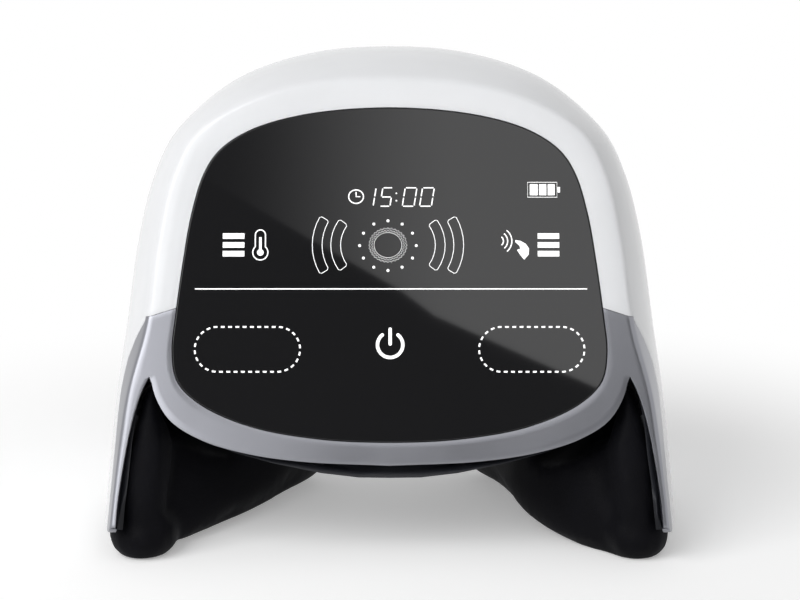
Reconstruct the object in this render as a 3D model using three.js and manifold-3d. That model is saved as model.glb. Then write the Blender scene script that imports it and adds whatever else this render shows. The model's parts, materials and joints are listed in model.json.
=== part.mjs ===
// Knee massager: a helmet-shaped hood with a tilted touch panel in front, double-walled wings at the
// sides, soft cushions that line the wings and carry the massager, and a compartment between the
// panel and the inner shell that holds the boards, battery, pump, valve and vibration motors.
// Millimetres. X runs across the knee, Y from the panel to the back, Z up from the surface that the
// cushions stand on.
import * as THREE from 'three';
import { mergeVertices } from 'three/addons/utils/BufferGeometryUtils.js';
import Module from 'manifold-3d';

const wasm = await Module();
wasm.setup();

// Driving dimensions
const PANEL_TILT = THREE.MathUtils.degToRad(20);
const PANEL_SETBACK = 36.6;
const GLASS_WIDTH = 154.4;
const GLASS_HEIGHT = 120;
const GLASS_THICKNESS = 1.8;
const SIDE_BORDER = 10;
const TOP_BORDER = 11;
const LOWER_BORDER = 8.3;
const WING_REACH = 93.5;
const WING_LIFT = 11.5;
const REAR_REACH = 66;
const SHELL_WALL = 2.5;
const INNER_WALL = 2;
const LEDGE_WIDTH = 5;
const LEDGE_THICKNESS = 1.5;
const TAPE_THICKNESS = 0.5;
const LIP_DROP = 5.8;
const BOWL_HALF_WIDTH = 88;
const CUSHION_HEIGHT = 100;
const CUSHION_PLATE = 1.6;
const AIRBAG_ROOM = 9.3;

// The gap between neighbours, the slack round a turning shaft and the overrun of every cut
const GAP = 0.3;
const SLACK = 0.5;
const OVERRUN = 60;

// Sizes that follow from the driving dimensions
const HALF_GLASS_WIDTH = GLASS_WIDTH / 2;
const HALF_GLASS_HEIGHT = GLASS_HEIGHT / 2;
const FRONT_HALF_WIDTH = HALF_GLASS_WIDTH + SIDE_BORDER;
const FRONT_TOP = HALF_GLASS_HEIGHT + TOP_BORDER;
const FRONT_LOW = HALF_GLASS_HEIGHT + LOWER_BORDER;
const PANEL_HEIGHT = WING_LIFT + WING_REACH * Math.cos(PANEL_TILT);
const TAPE_FRONT = GLASS_THICKNESS + GAP;
const LEDGE_FRONT = TAPE_FRONT + TAPE_THICKNESS + GAP;
const FACE_THICKNESS = LEDGE_FRONT + LEDGE_THICKNESS;
const LINER_DEPTH = SHELL_WALL + GAP;
const WING_DEPTH = LINER_DEPTH + INNER_WALL;

// The compartment behind the panel, from the glass to the bowl's wall
const BOARD_THICKNESS = 1.6;
const FLANGE_THICKNESS = 1.2;
const MASK_STANDOFF = 0.4;
const BATTERY_THICKNESS = 10;
const BATTERY_FOAM = 2.7;
const FLANGE_FRONT = FACE_THICKNESS + GAP;
const FLANGE_BACK = FLANGE_FRONT + FLANGE_THICKNESS;
const DISPLAY_FRONT = FLANGE_BACK + MASK_STANDOFF + GAP;
const DISPLAY_BACK = DISPLAY_FRONT + BOARD_THICKNESS;
const BATTERY_FRONT = DISPLAY_BACK + 2 * GAP;
const BATTERY_BACK = BATTERY_FRONT + BATTERY_THICKNESS;
const BOWL_DEPTH = BATTERY_BACK + BATTERY_FOAM + INNER_WALL;

// The same compartment from its middle outwards: battery, vibration motor and pump side by side, and
// lower down the main board, the valve and the pump's head
const BATTERY_HALF_WIDTH = 25;
const CRADLE_WALL = 1.2;
const MOTOR_RADIUS = 6.5;
const PUMP_MOTOR_RADIUS = 10;
const PUMP_HEAD_RADIUS = 10.5;
const VALVE_LENGTH = 14.5;
const LEAD_ROOM = 10;
const PUMP_ROOM = 3.5;
const TUBE_ROOM = 5.5;
const BOARD_ROOM = 1.5;
const cradleHalfWidth = (radius) => radius + GAP + CRADLE_WALL;
const MOTOR_U = BATTERY_HALF_WIDTH + LEAD_ROOM + cradleHalfWidth(MOTOR_RADIUS);
const PUMP_U = MOTOR_U + cradleHalfWidth(MOTOR_RADIUS) + PUMP_ROOM + cradleHalfWidth(PUMP_MOTOR_RADIUS);
const VALVE_LOW_U = PUMP_U - PUMP_HEAD_RADIUS - TUBE_ROOM - VALVE_LENGTH;
const BOARD_HALF_WIDTH = VALVE_LOW_U - BOARD_ROOM;

// Outlines and rails as shares. Each row of a rail is a station from the top centre to the wing's
// end, and the last one lies past the end, where the wing is cut off level.
const GLASS_SHARES = [
  [0, 1], [0.4, 0.957], [0.65, 0.862], [0.79, 0.74], [0.86, 0.6], [0.915, 0.36], [0.952, 0.078],
  [0.985, -0.25], [1, -0.47], [0.975, -0.64], [0.874, -0.772], [0.644, -0.905], [0.33, -0.98], [0, -1],
];
const BEZEL_SHARES = [
  [0, -1], [0.365, -0.978], [0.608, -0.93], [0.771, -0.864], [0.891, -0.767], [0.952, -0.641], [0.972, -0.54],
];
const WING_EDGE_SHARES = [
  [0.978, -0.392], [1.006, -0.446], [1.033, -0.522],
  [1.053, -0.598], [1.069, -0.674], [1.1, -0.87], [1.112, -1.02],
];
const FRONT_RAIL_SHARES = [
  [0, 1], [0.31, 0.975], [0.573, 0.887], [0.787, 0.725], [0.89, 0.493],
  [0.947, 0.169], [0.992, -0.193], [1.074, -0.503], [1.134, -1], [1.145, -1.16],
];
const MIDDLE_RAIL_SHARES = [
  [0, 0.182, 1.022], [0.338, 0.174, 0.993], [0.645, 0.159, 0.875],
  [0.885, 0.136, 0.642], [0.995, 0.121, 0.396],
  [1.065, 0.121, 0.072], [1.108, 0.136, -0.229],
  [1.132, 0.167, -0.55], [1.14, 0.212, -0.95], [1.142, 0.22, -1.09],
];
const REAR_RAIL_SHARES = [
  [0, 0.545, 1], [0.333, 0.553, 0.96], [0.612, 0.576, 0.825], [0.825, 0.621, 0.58], [0.922, 0.674, 0.318],
  [0.958, 0.742, -0.016], [0.935, 0.833, -0.294],
  [0.843, 0.924, -0.615], [0.711, 1, -0.95], [0.67, 1.01, -1.09],
];
const LAST_STATION = FRONT_RAIL_SHARES.length - 1;
const WING_END_STATION = LAST_STATION - 1;
const FRONT_SWEEP_SHARE = -0.07;
const FLOOR_SHARES = [
  [0.229, -1.07], [0.55, -0.985], [0.768, -0.886],
  [0.894, -0.79], [0.963, -0.66], [1.01, -0.57], [1.5, -0.53],
];
const BOWL_SHARES = [
  [-0.03, 0.187], [0.173, 0.239], [0.26, 0.48], [0.347, 0.643], [0.462, 0.875],
  [0.636, 0.999], [0.809, 1.287], [0.96, 1.627], [1.1, 1.918],
];
const BOWL_ROUNDNESS = 2.4;
const HOOD_TOP = PANEL_HEIGHT + FRONT_TOP * MIDDLE_RAIL_SHARES[0][2];

// Materials
const makeMaterial = (color, roughness, metalness = 0) => (
  new THREE.MeshStandardMaterial({ color, roughness, metalness })
);
const finish = {
  whiteGloss: makeMaterial(0xeeeff2, 0.25),
  greySatin: makeMaterial(0x84868f, 0.45),
  blackSatin: makeMaterial(0x15171d, 0.4),
  glass: makeMaterial(0x111113, 0.08),
  fabric: makeMaterial(0x16161c, 0.95),
  tape: makeMaterial(0x222222, 0.9),
  whitePlastic: makeMaterial(0xe6e6e0, 0.6),
  board: makeMaterial(0x1d5c3a, 0.55),
  steel: makeMaterial(0xb6b9bd, 0.35, 1),
  brass: makeMaterial(0xb89b4a, 0.4, 1),
  silicone: makeMaterial(0x33353c, 0.7),
  tubing: makeMaterial(0xd8d8d2, 0.5),
  bladder: makeMaterial(0x565a66, 0.6),
  wrap: makeMaterial(0x2f6fb5, 0.4),
  lead: makeMaterial(0x8f2420, 0.6),
  film: makeMaterial(0xb5742c, 0.5),
};

const massager = new THREE.Group();
const panel = new THREE.Group();
panel.rotation.x = Math.PI / 2 - PANEL_TILT;
panel.position.set(0, -PANEL_SETBACK, PANEL_HEIGHT);
panel.updateMatrixWorld();
massager.add(panel);

function addPiece(parent, name, geometry, material) {
  const mesh = new THREE.Mesh(geometry, material);
  mesh.name = name;
  parent.add(mesh);
  return mesh;
}

// Solids for joining and cutting
function toSolid(geometry) {
  const bare = geometry.clone();
  bare.deleteAttribute('normal');
  bare.deleteAttribute('uv');
  const merged = mergeVertices(bare);
  return new wasm.Manifold(new wasm.Mesh({
    numProp: 3,
    vertProperties: new Float32Array(merged.attributes.position.array),
    triVerts: new Uint32Array(merged.index.array),
  }));
}

// Points closer than this are one point, and triangles that shrink to a line with them are left out
const MERGE_DISTANCE = 0.002;

function toGeometry(solid) {
  const mesh = solid.getMesh();
  const cut = new THREE.BufferGeometry();
  cut.setAttribute(
    'position', new THREE.BufferAttribute(new Float32Array(mesh.vertProperties), mesh.numProp),
  );
  cut.setIndex(new THREE.BufferAttribute(new Uint32Array(mesh.triVerts), 1));
  const geometry = mergeVertices(cut, MERGE_DISTANCE);
  const corners = Array.from(geometry.index.array);
  const kept = [];
  for (let i = 0; i < corners.length; i += 3) {
    const [a, b, c] = corners.slice(i, i + 3);
    if (a !== b && b !== c && c !== a) kept.push(a, b, c);
  }
  geometry.setIndex(kept);
  return geometry;
}

const joined = (...solids) => solids.reduce((whole, solid) => whole.add(solid));
const panelSolid = (geometry) => toSolid(geometry.clone().applyMatrix4(panel.matrixWorld));
const panelPoint = (u, v, depth) => panel.localToWorld(new THREE.Vector3(u, v, -depth));

// A closed body from rings of points, each ring the same length, with a fan at both ends
function loftGeometry(rings) {
  const count = rings[0].length;
  const positions = [];
  const push = (...points) => points.forEach((point) => positions.push(point.x, point.y, point.z));
  for (let row = 0; row + 1 < rings.length; row += 1) {
    for (let i = 0; i < count; i += 1) {
      const next = (i + 1) % count;
      push(rings[row][i], rings[row][next], rings[row + 1][next]);
      push(rings[row][i], rings[row + 1][next], rings[row + 1][i]);
    }
  }
  const sumOf = (ring) => ring.reduce((sum, point) => sum.add(point), new THREE.Vector3());
  const first = rings[0];
  const last = rings[rings.length - 1];
  const firstCentre = sumOf(first).divideScalar(count);
  const lastCentre = sumOf(last).divideScalar(count);
  for (let i = 0; i < count; i += 1) {
    const next = (i + 1) % count;
    push(firstCentre, first[next], first[i]);
    push(lastCentre, last[i], last[next]);
  }
  const geometry = new THREE.BufferGeometry();
  geometry.setAttribute('position', new THREE.Float32BufferAttribute(positions, 3));
  return faceOutwards(geometry);
}

// Turns a closed body's triangles round when its volume comes out negative
function faceOutwards(geometry) {
  const position = geometry.attributes.position;
  const a = new THREE.Vector3();
  const b = new THREE.Vector3();
  const c = new THREE.Vector3();
  let volume = 0;
  for (let i = 0; i < position.count; i += 3) {
    a.fromBufferAttribute(position, i);
    b.fromBufferAttribute(position, i + 1);
    c.fromBufferAttribute(position, i + 2);
    volume += a.dot(b.cross(c));
  }
  if (volume < 0) {
    for (let i = 0; i < position.count; i += 3) {
      a.fromBufferAttribute(position, i + 1);
      b.fromBufferAttribute(position, i + 2);
      position.setXYZ(i + 1, b.x, b.y, b.z);
      position.setXYZ(i + 2, a.x, a.y, a.z);
    }
  }
  return geometry;
}

// Flat outlines
const vector2 = (x, y) => new THREE.Vector2(x, y);

function circle(radius, sides, x = 0, y = 0) {
  return Array.from({ length: sides }, (_, i) => {
    const angle = (i + 0.5) / sides * Math.PI * 2;
    return vector2(x + radius * Math.cos(angle), y + radius * Math.sin(angle));
  });
}

function roundedRectangle(width, height, radius, x = 0, y = 0, steps = 3) {
  const points = [];
  for (let corner = 0; corner < 4; corner += 1) {
    const signX = corner === 0 || corner === 3 ? 1 : -1;
    const signY = corner < 2 ? 1 : -1;
    for (let i = 0; i <= steps; i += 1) {
      const angle = (corner + i / steps) * Math.PI / 2;
      points.push(vector2(
        x + signX * (width / 2 - radius) + radius * Math.cos(angle),
        y + signY * (height / 2 - radius) + radius * Math.sin(angle),
      ));
    }
  }
  return points;
}

// A smooth closed outline from the shares of its right half, from top to bottom
function mirroredOutline(shares, halfWidth, halfHeight, divisions) {
  const right = shares.map(([x, y]) => new THREE.Vector3(x * halfWidth, y * halfHeight, 0));
  const left = right.slice(1, -1).reverse().map((point) => new THREE.Vector3(-point.x, point.y, 0));
  const curve = new THREE.CatmullRomCurve3([...right, ...left], true, 'centripetal');
  return curve.getPoints(divisions).slice(0, -1).map((point) => vector2(point.x, point.y));
}

// Moves an outline's points along its normals, outwards for a positive distance
function offsetOutline(points, distance) {
  const turn = THREE.ShapeUtils.area(points) > 0 ? 1 : -1;
  return points.map((point, i) => {
    const before = points[(i + points.length - 1) % points.length];
    const after = points[(i + 1) % points.length];
    const along = after.clone().sub(before).normalize();
    return vector2(point.x + turn * distance * along.y, point.y - turn * distance * along.x);
  });
}

// A plate in the panel's frame, between two depths behind the panel's front face
function plateGeometry(outline, frontDepth, backDepth, holes = []) {
  const shape = new THREE.Shape(THREE.ShapeUtils.area(outline) < 0 ? [...outline].reverse() : outline);
  holes.forEach((hole) => shape.holes.push(new THREE.Path(hole)));
  const geometry = new THREE.ExtrudeGeometry(
    shape, { depth: backDepth - frontDepth, bevelEnabled: false, steps: 1 },
  );
  return geometry.translate(0, 0, -backDepth);
}

const postGeometry = (radius, sides, u, v, frontDepth, backDepth) => (
  plateGeometry(circle(radius, sides, u, v), frontDepth, backDepth)
);

// A round bar along the panel's up direction
function uprightGeometry(radius, sides, u, lowV, highV, depth) {
  const geometry = new THREE.CylinderGeometry(radius, radius, highV - lowV, sides);
  return geometry.translate(u, (lowV + highV) / 2, -depth);
}

// The hood's outer surface: three rails run from the left wing's end over the top to the right
// wing's end, and a curve runs back from the front rail through the middle one to the rear one
const riseOf = (share) => share * (share > 0 ? FRONT_TOP : WING_REACH);
const frontRailPoint = ([x, v]) => panelPoint(x * FRONT_HALF_WIDTH, riseOf(v), 0);
const hoodRailPoint = ([x, y, z]) => (
  new THREE.Vector3(x * FRONT_HALF_WIDTH, y * REAR_REACH, PANEL_HEIGHT + riseOf(z))
);

function railCurve(shares, place) {
  const right = shares.map(place);
  const left = right.slice(1).reverse().map((point) => new THREE.Vector3(-point.x, point.y, point.z));
  return new THREE.CatmullRomCurve3([...left, ...right], false, 'catmullrom', 0.5);
}

const frontRail = railCurve(FRONT_RAIL_SHARES, frontRailPoint);
const middleRail = railCurve(MIDDLE_RAIL_SHARES, hoodRailPoint);
const rearRail = railCurve(REAR_RAIL_SHARES, hoodRailPoint);

// station runs from -LAST_STATION at the left to LAST_STATION at the right, sweep from 0 to 1
function hoodPoint(station, sweep) {
  const along = (station / LAST_STATION + 1) / 2;
  const front = frontRail.getPoint(along);
  const middle = middleRail.getPoint(along);
  const rear = rearRail.getPoint(along);
  const control = middle.multiplyScalar(2).addScaledVector(front, -0.5).addScaledVector(rear, -0.5);
  return front.multiplyScalar((1 - sweep) ** 2)
    .addScaledVector(control, 2 * sweep * (1 - sweep))
    .addScaledVector(rear, sweep ** 2);
}

const NORMAL_STEP_SHARE = 0.02;

function hoodNormal(station, sweep) {
  const low = Math.max(station - NORMAL_STEP_SHARE, -LAST_STATION);
  const high = Math.min(station + NORMAL_STEP_SHARE, LAST_STATION);
  const across = hoodPoint(high, sweep).sub(hoodPoint(low, sweep));
  const back = hoodPoint(station, sweep + NORMAL_STEP_SHARE)
    .sub(hoodPoint(station, sweep - NORMAL_STEP_SHARE));
  return across.cross(back).normalize();
}

const hoodInside = (station, sweep, depth) => (
  hoodPoint(station, sweep).addScaledVector(hoodNormal(station, sweep), -depth)
);

const steps = (from, to, count) => (
  Array.from({ length: count + 1 }, (_, i) => from + (to - from) * i / count)
);

// Everything inside the hood's outer surface, moved inwards by a depth that may vary. A core that
// hollows out another one takes a further sweep past the hood's rear edge
const HOOD_ROWS = 38;
const HOOD_SWEEPS = 7;
const PAST_REAR_SHARE = 1.12;

function hoodCore(depthAt, ...furtherSweeps) {
  const stations = steps(-LAST_STATION, LAST_STATION, HOOD_ROWS);
  const sweeps = [...steps(FRONT_SWEEP_SHARE, 1, HOOD_SWEEPS), ...furtherSweeps];
  return toSolid(loftGeometry(sweeps.map((sweep) => (
    stations.map((station) => hoodInside(station, sweep, depthAt(station, sweep)))
  ))));
}

// A closed patch between two depths under the hood's surface. place turns two numbers from 0 to 1
// into a station and a sweep
function hoodPatch(place, outerDepthAt, innerDepthAt, rows, columns) {
  const rings = steps(0, 1, rows).map((a) => {
    const places = steps(0, 1, columns).map((b) => place(a, b));
    const outer = places.map(([station, sweep]) => hoodInside(station, sweep, outerDepthAt(station, sweep)));
    const inner = places.map(([station, sweep]) => hoodInside(station, sweep, innerDepthAt(station, sweep)));
    return [...outer, ...inner.reverse()];
  });
  return loftGeometry(rings);
}

// The v of a place at a height, seen at a depth behind the panel's front face
const panelV = (height, depth) => (
  (height - PANEL_HEIGHT + depth * Math.sin(PANEL_TILT)) / Math.cos(PANEL_TILT)
);

// The knee's bowl: the space behind the inner shell, as level slices that widen towards the back. Its
// front wall follows the panel at a share of the compartment's depth
const bowlCurve = new THREE.CatmullRomCurve3(BOWL_SHARES.map(([heightShare, depthShare]) => {
  const height = heightShare * HOOD_TOP;
  const depth = depthShare * BOWL_DEPTH;
  return panelPoint(0, panelV(height, depth), depth);
}), false, 'centripetal');
const bowlFrontPoints = bowlCurve.getPoints(64);

function bowlFrontAt(height) {
  const after = bowlFrontPoints.findIndex((point) => point.z >= height);
  const low = bowlFrontPoints[Math.max(after - 1, 0)];
  const high = bowlFrontPoints[Math.max(after, 1)];
  return low.y + (high.y - low.y) * (height - low.z) / (high.z - low.z);
}

function bowlY(x, height, growth) {
  const share = Math.min(Math.abs(x) / (BOWL_HALF_WIDTH + growth), 1);
  const reach = REAR_REACH - bowlFrontAt(height) + growth;
  return REAR_REACH - reach * (1 - share ** BOWL_ROUNDNESS) ** (1 / BOWL_ROUNDNESS);
}

function bowlSolid(growth, columns = 16, levels = 9) {
  const halfWidth = BOWL_HALF_WIDTH + growth;
  const angles = steps(-Math.PI / 2, Math.PI / 2, columns);
  const bottom = bowlFrontPoints[1].z;
  const top = bowlFrontPoints[bowlFrontPoints.length - 2].z;
  return toSolid(loftGeometry(steps(bottom, top, levels).map((height) => {
    const reach = REAR_REACH - bowlFrontAt(height) + growth;
    const wall = angles.map((angle) => {
      const across = Math.sign(angle) * Math.abs(Math.sin(angle)) ** (2 / BOWL_ROUNDNESS);
      const forward = Math.abs(Math.cos(angle)) ** (2 / BOWL_ROUNDNESS);
      return new THREE.Vector3(halfWidth * across, REAR_REACH - reach * forward, height);
    });
    const back = REAR_REACH + OVERRUN;
    return [...wall, new THREE.Vector3(halfWidth, back, height), new THREE.Vector3(-halfWidth, back, height)];
  })));
}

// How far the bowl lies behind the panel's front face, measured square to it
function bowlDepthAt(u, v, growth) {
  let low = 0;
  let high = REAR_REACH + PANEL_SETBACK;
  for (let i = 0; i < 24; i += 1) {
    const middle = (low + high) / 2;
    const point = panelPoint(u, v, middle);
    if (point.y > bowlY(point.x, point.z, growth)) high = middle;
    else low = middle;
  }
  return low;
}

// The pump's bay keeps the bowl's wall clear of the pump and its cradle. Its outline is in shares of the
// pump head's radius, sideways from the pump's axis and back from it
const PUMP_DEPTH = 20.5;
const PUMP_MOTOR_HIGH_V = 19;
const PUMP_SPLIT_V = -14;
const PUMP_HEAD_LENGTH = 18;
const MOTOR_CAP_HEIGHT = 1.5;
const BAY_SHARES = [[-1.35, 0], [-1.12, 0.4], [-0.57, 0.86], [0, 1.36], [0.57, 2.03], [1.12, 2.75]];

function pumpBay(growth) {
  const back = BAY_SHARES.map(([sideways, depth]) => (
    vector2(PUMP_U + sideways * PUMP_HEAD_RADIUS, PUMP_DEPTH + depth * PUMP_HEAD_RADIUS + growth)
  ));
  const corner = back[back.length - 1];
  corner.x += growth;
  const shape = new THREE.Shape([...back, vector2(corner.x, PUMP_DEPTH)]);
  const low = PUMP_SPLIT_V - PUMP_HEAD_LENGTH - GAP - growth;
  const high = PUMP_MOTOR_HIGH_V + MOTOR_CAP_HEIGHT + GAP + growth;
  const geometry = new THREE.ExtrudeGeometry(shape, { depth: high - low, bevelEnabled: false, steps: 1 });
  return panelSolid(geometry.rotateX(-Math.PI / 2).translate(0, low, 0));
}

const kneeSpace = (growth) => bowlSolid(growth).subtract(pumpBay(INNER_WALL - growth));

// Trimming blocks
const FAR = HOOD_TOP + OVERRUN;
const blockSolid = (x, y, z, width, length, height) => (
  toSolid(new THREE.BoxGeometry(width, length, height).translate(x, y, z))
);
const below = (height) => blockSolid(0, 0, height - FAR / 2, 2 * FAR, 2 * FAR, FAR);
const inFrontOf = (depth) => panelSolid(
  new THREE.BoxGeometry(2 * FAR, 2 * FAR, FAR).translate(0, 0, FAR / 2 - depth),
);

// Glass, its tape and the panel's pocket
const OUTLINE_STEPS = 64;
const glassOutline = mirroredOutline(GLASS_SHARES, HALF_GLASS_WIDTH, HALF_GLASS_HEIGHT, OUTLINE_STEPS);
const windowOutline = offsetOutline(glassOutline, -LEDGE_WIDTH);
const coarseGlassOutline = mirroredOutline(
  GLASS_SHARES, HALF_GLASS_WIDTH, HALF_GLASS_HEIGHT, OUTLINE_STEPS / 2,
);

function addGlass() {
  addPiece(panel, 'touch_glass', plateGeometry(glassOutline, 0, GLASS_THICKNESS), finish.glass);
  const tapeOutline = offsetOutline(coarseGlassOutline, -GAP);
  const tapeWindow = offsetOutline(coarseGlassOutline, GAP - LEDGE_WIDTH);
  const tape = plateGeometry(tapeOutline, TAPE_FRONT, TAPE_FRONT + TAPE_THICKNESS, [tapeWindow]);
  addPiece(panel, 'glass_adhesive', tape, finish.tape);
}

// Screws stand square to the panel. The head lies on the far side of its seat, seen from the tip
const HOUSING_SCREW = { radius: 1.3, headRadius: 2.6, headHeight: 1.8 };
const BOARD_SCREW = { radius: 0.8, headRadius: 1.8, headHeight: 1.2 };
const SCREW_SIDES = 8;

function screwSolid({ u, v, tip, seat }, { radius, headRadius, headHeight }) {
  const top = seat + Math.sign(seat - tip) * headHeight;
  const post = (postRadius, end) => (
    toSolid(postGeometry(postRadius, SCREW_SIDES, u, v, Math.min(end, top), Math.max(end, top)))
  );
  return post(radius, tip).add(post(headRadius, seat));
}

function addScrews(name, screws, size) {
  screws.forEach((screw, i) => {
    addPiece(panel, `${name}_${i + 1}`, toGeometry(screwSolid(screw, size)), finish.steel);
  });
}

// Housing screws go in from the knee's side: two high ones into the outer shell and two low ones
// into the lower frame. meet is the depth where the inner shell's boss meets the front boss
const SCREW_WEB = 1.6;
const BOSS_RADIUS = 3.6;
const INNER_BOSS_RADIUS = 4.4;
const BOSS_SIDES = 12;
const BOSS_SKIN = 1.3;
const HIGH_SCREW_U = 30;
const LOW_SCREW_U = 26;
const HIGH_SCREW_MEET = 14;
const LOW_SCREW_MEET = 6.2;
const HIGH_SCREW_BITE = 7;
const HIGH_SCREW_SHARE = 0.3;
const LOW_SCREW_SHARE = 0.38;
const highScrewV = HALF_GLASS_HEIGHT + TOP_BORDER * HIGH_SCREW_SHARE;
const lowScrewV = -HALF_GLASS_HEIGHT - LOWER_BORDER * LOW_SCREW_SHARE;
const housingScrews = [
  { u: -HIGH_SCREW_U, v: highScrewV, meet: HIGH_SCREW_MEET, tip: HIGH_SCREW_MEET - HIGH_SCREW_BITE },
  { u: HIGH_SCREW_U, v: highScrewV, meet: HIGH_SCREW_MEET, tip: HIGH_SCREW_MEET - HIGH_SCREW_BITE },
  { u: -LOW_SCREW_U, v: lowScrewV, meet: LOW_SCREW_MEET, tip: BOSS_SKIN + GAP },
  { u: LOW_SCREW_U, v: lowScrewV, meet: LOW_SCREW_MEET, tip: BOSS_SKIN + GAP },
].map((screw) => ({ ...screw, seat: screw.meet + GAP + SCREW_WEB + GAP }));

function frontBosses(screws) {
  const bosses = screws.map(({ u, v, meet }) => (
    panelSolid(postGeometry(BOSS_RADIUS, BOSS_SIDES, u, v, FACE_THICKNESS - LEDGE_THICKNESS, meet))
  ));
  return joined(...bosses);
}

function frontBores(screws) {
  const bores = screws.map(({ u, v, meet, tip }) => (
    panelSolid(postGeometry(HOUSING_SCREW.radius + GAP, BOSS_SIDES, u, v, tip - GAP, meet + GAP))
  ));
  return joined(...bores);
}

// The front face: a plate in the panel's plane that borders the glass and edges the wings
const EDGE_INSET = 1.2;
const FACE_PAST_END_SHARE = 0.6;
const FACE_STEPS = 36;
const BEZEL_STEPS = 18;
const WING_EDGE_STEPS = 10;

function faceOutline() {
  const crease = steps(0, WING_END_STATION + FACE_PAST_END_SHARE, FACE_STEPS).map((station) => {
    const point = panel.worldToLocal(hoodPoint(station, 0));
    return vector2(point.x, point.y);
  });
  const bezel = BEZEL_SHARES.map(([x, y]) => new THREE.Vector3(x * FRONT_HALF_WIDTH, y * FRONT_LOW, 0));
  const bezelPoints = new THREE.CatmullRomCurve3(bezel, false, 'centripetal').getPoints(BEZEL_STEPS)
    .map((point) => vector2(point.x, point.y));
  const wingEdge = new THREE.SplineCurve(
    WING_EDGE_SHARES.map(([x, y]) => vector2(x * FRONT_HALF_WIDTH, y * WING_REACH)),
  ).getPoints(WING_EDGE_STEPS);
  const inset = crease.map((point, i) => {
    const before = crease[Math.max(i - 1, 0)];
    const after = crease[Math.min(i + 1, crease.length - 1)];
    const along = after.clone().sub(before).normalize();
    return vector2(point.x + along.y * EDGE_INSET, point.y - along.x * EDGE_INSET);
  });
  const right = [...bezelPoints, ...wingEdge, ...inset.reverse()];
  const left = right.slice(1, -1).reverse().map((point) => vector2(-point.x, point.y));
  return [...right, ...left];
}

// The region that the lower frame takes: the bezel, the wings' front edges and a return of a few
// millimetres on the wings' outer faces. Its upper edge drops where it crosses the side border
const PARTING_SHARES = [
  [-1, -0.128], [0, -0.134], [0.33, -0.15], [0.72, -0.185], [1, -0.27], [0.92, -0.365],
  [0.66, -0.48], [0.46, -0.59], [0.4, -0.72], [0.4, -1.3], [-1, -1.3],
];
const PARTING_RETURN = 12;
const PARTING_DROP = 3;

function frameRegion(shift) {
  const places = [
    [-2 * FRONT_HALF_WIDTH, PARTING_DROP], [-FRONT_HALF_WIDTH, PARTING_DROP], [-HALF_GLASS_WIDTH, 0],
    [HALF_GLASS_WIDTH, 0], [FRONT_HALF_WIDTH, PARTING_DROP], [2 * FRONT_HALF_WIDTH, PARTING_DROP],
  ];
  return toSolid(loftGeometry(places.map(([x, drop]) => PARTING_SHARES.map(([depth, v]) => (
    panelPoint(x, v * WING_REACH - drop - shift, depth * PARTING_RETURN - shift)
  )))));
}

// The side view of the hood: level wing ends with round corners
const WING_FRONT_CORNER = 7;
const WING_REAR_CORNER = 20;

function wingEnds() {
  const frontY = panelPoint(0, -WING_REACH, 0).y;
  const rearY = hoodPoint(WING_END_STATION, 1).y;
  const arc = (y, z, radius, from, to) => steps(from, to, 6).map((angle) => (
    vector2(y + radius * Math.cos(angle), z + radius * Math.sin(angle))
  ));
  const outline = [
    vector2(frontY - OVERRUN, FAR),
    vector2(frontY - OVERRUN, WING_LIFT + WING_FRONT_CORNER),
    ...arc(
      frontY + WING_FRONT_CORNER, WING_LIFT + WING_FRONT_CORNER, WING_FRONT_CORNER, Math.PI, Math.PI * 1.5,
    ),
    ...arc(rearY - WING_REAR_CORNER, WING_LIFT + WING_REAR_CORNER, WING_REAR_CORNER, -Math.PI / 2, 0),
    vector2(rearY + OVERRUN, WING_LIFT + WING_REAR_CORNER + OVERRUN),
    vector2(rearY + OVERRUN, FAR),
  ];
  const geometry = new THREE.ExtrudeGeometry(
    new THREE.Shape(outline), { depth: 2 * FAR, bevelEnabled: false },
  );
  geometry.translate(0, 0, -FAR);
  const axes = new THREE.Matrix4().makeBasis(
    new THREE.Vector3(0, 1, 0), new THREE.Vector3(0, 0, 1), new THREE.Vector3(1, 0, 0),
  );
  return toSolid(geometry.applyMatrix4(axes));
}

function addHousing() {
  const wall = hoodCore(() => 0).subtract(hoodCore(() => SHELL_WALL, PAST_REAR_SHARE));
  const face = panelSolid(plateGeometry(faceOutline(), 0, FACE_THICKNESS));
  const pocket = panelSolid(plateGeometry(offsetOutline(glassOutline, GAP), -OVERRUN, LEDGE_FRONT));
  const window = panelSolid(plateGeometry(windowOutline, -OVERRUN, OVERRUN)).subtract(wall);
  const body = wall.add(face).subtract(pocket).subtract(window).subtract(inFrontOf(0)).intersect(wingEnds());
  const highScrews = housingScrews.slice(0, 2);
  const lowScrews = housingScrews.slice(2);
  const outer = body.subtract(frameRegion(0)).add(frontBosses(highScrews)).subtract(frontBores(highScrews));
  const lower = body.intersect(frameRegion(GAP)).add(frontBosses(lowScrews)).subtract(frontBores(lowScrews));
  addPiece(massager, 'outer_shell', toGeometry(outer), finish.whiteGloss);
  addPiece(massager, 'lower_frame', toGeometry(lower), finish.greySatin);
}

// Inner shell: it lines the wings, closes the compartment towards the knee with the bowl's wall and
// closes it downwards with a floor, whose front edge is the lip that shows under the bezel
const LINER_LIFT = 1;
const FLOOR_STEPS = 24;

// Main board behind the display board, on four posts of the inner shell. Screws hold it on two of
// them that lie diagonally
const BOARD_LOW_V = -36;
const BOARD_HIGH_V = -4;
const BOARD_FRONT = 10.4;
const BOARD_POST_INSET = 4;
const BOARD_POST_RADIUS = 2.8;
const BOARD_SCREW_REACH = 4;
const BOARD_BACK = BOARD_FRONT + BOARD_THICKNESS;
const boardPosts = [-1, 1].flatMap((side) => [BOARD_LOW_V + BOARD_POST_INSET, BOARD_HIGH_V - BOARD_POST_INSET]
  .map((v) => ({ u: side * (BOARD_HALF_WIDTH - BOARD_POST_INSET), v })));
const screwedPosts = [boardPosts[0], boardPosts[boardPosts.length - 1]];

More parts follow.
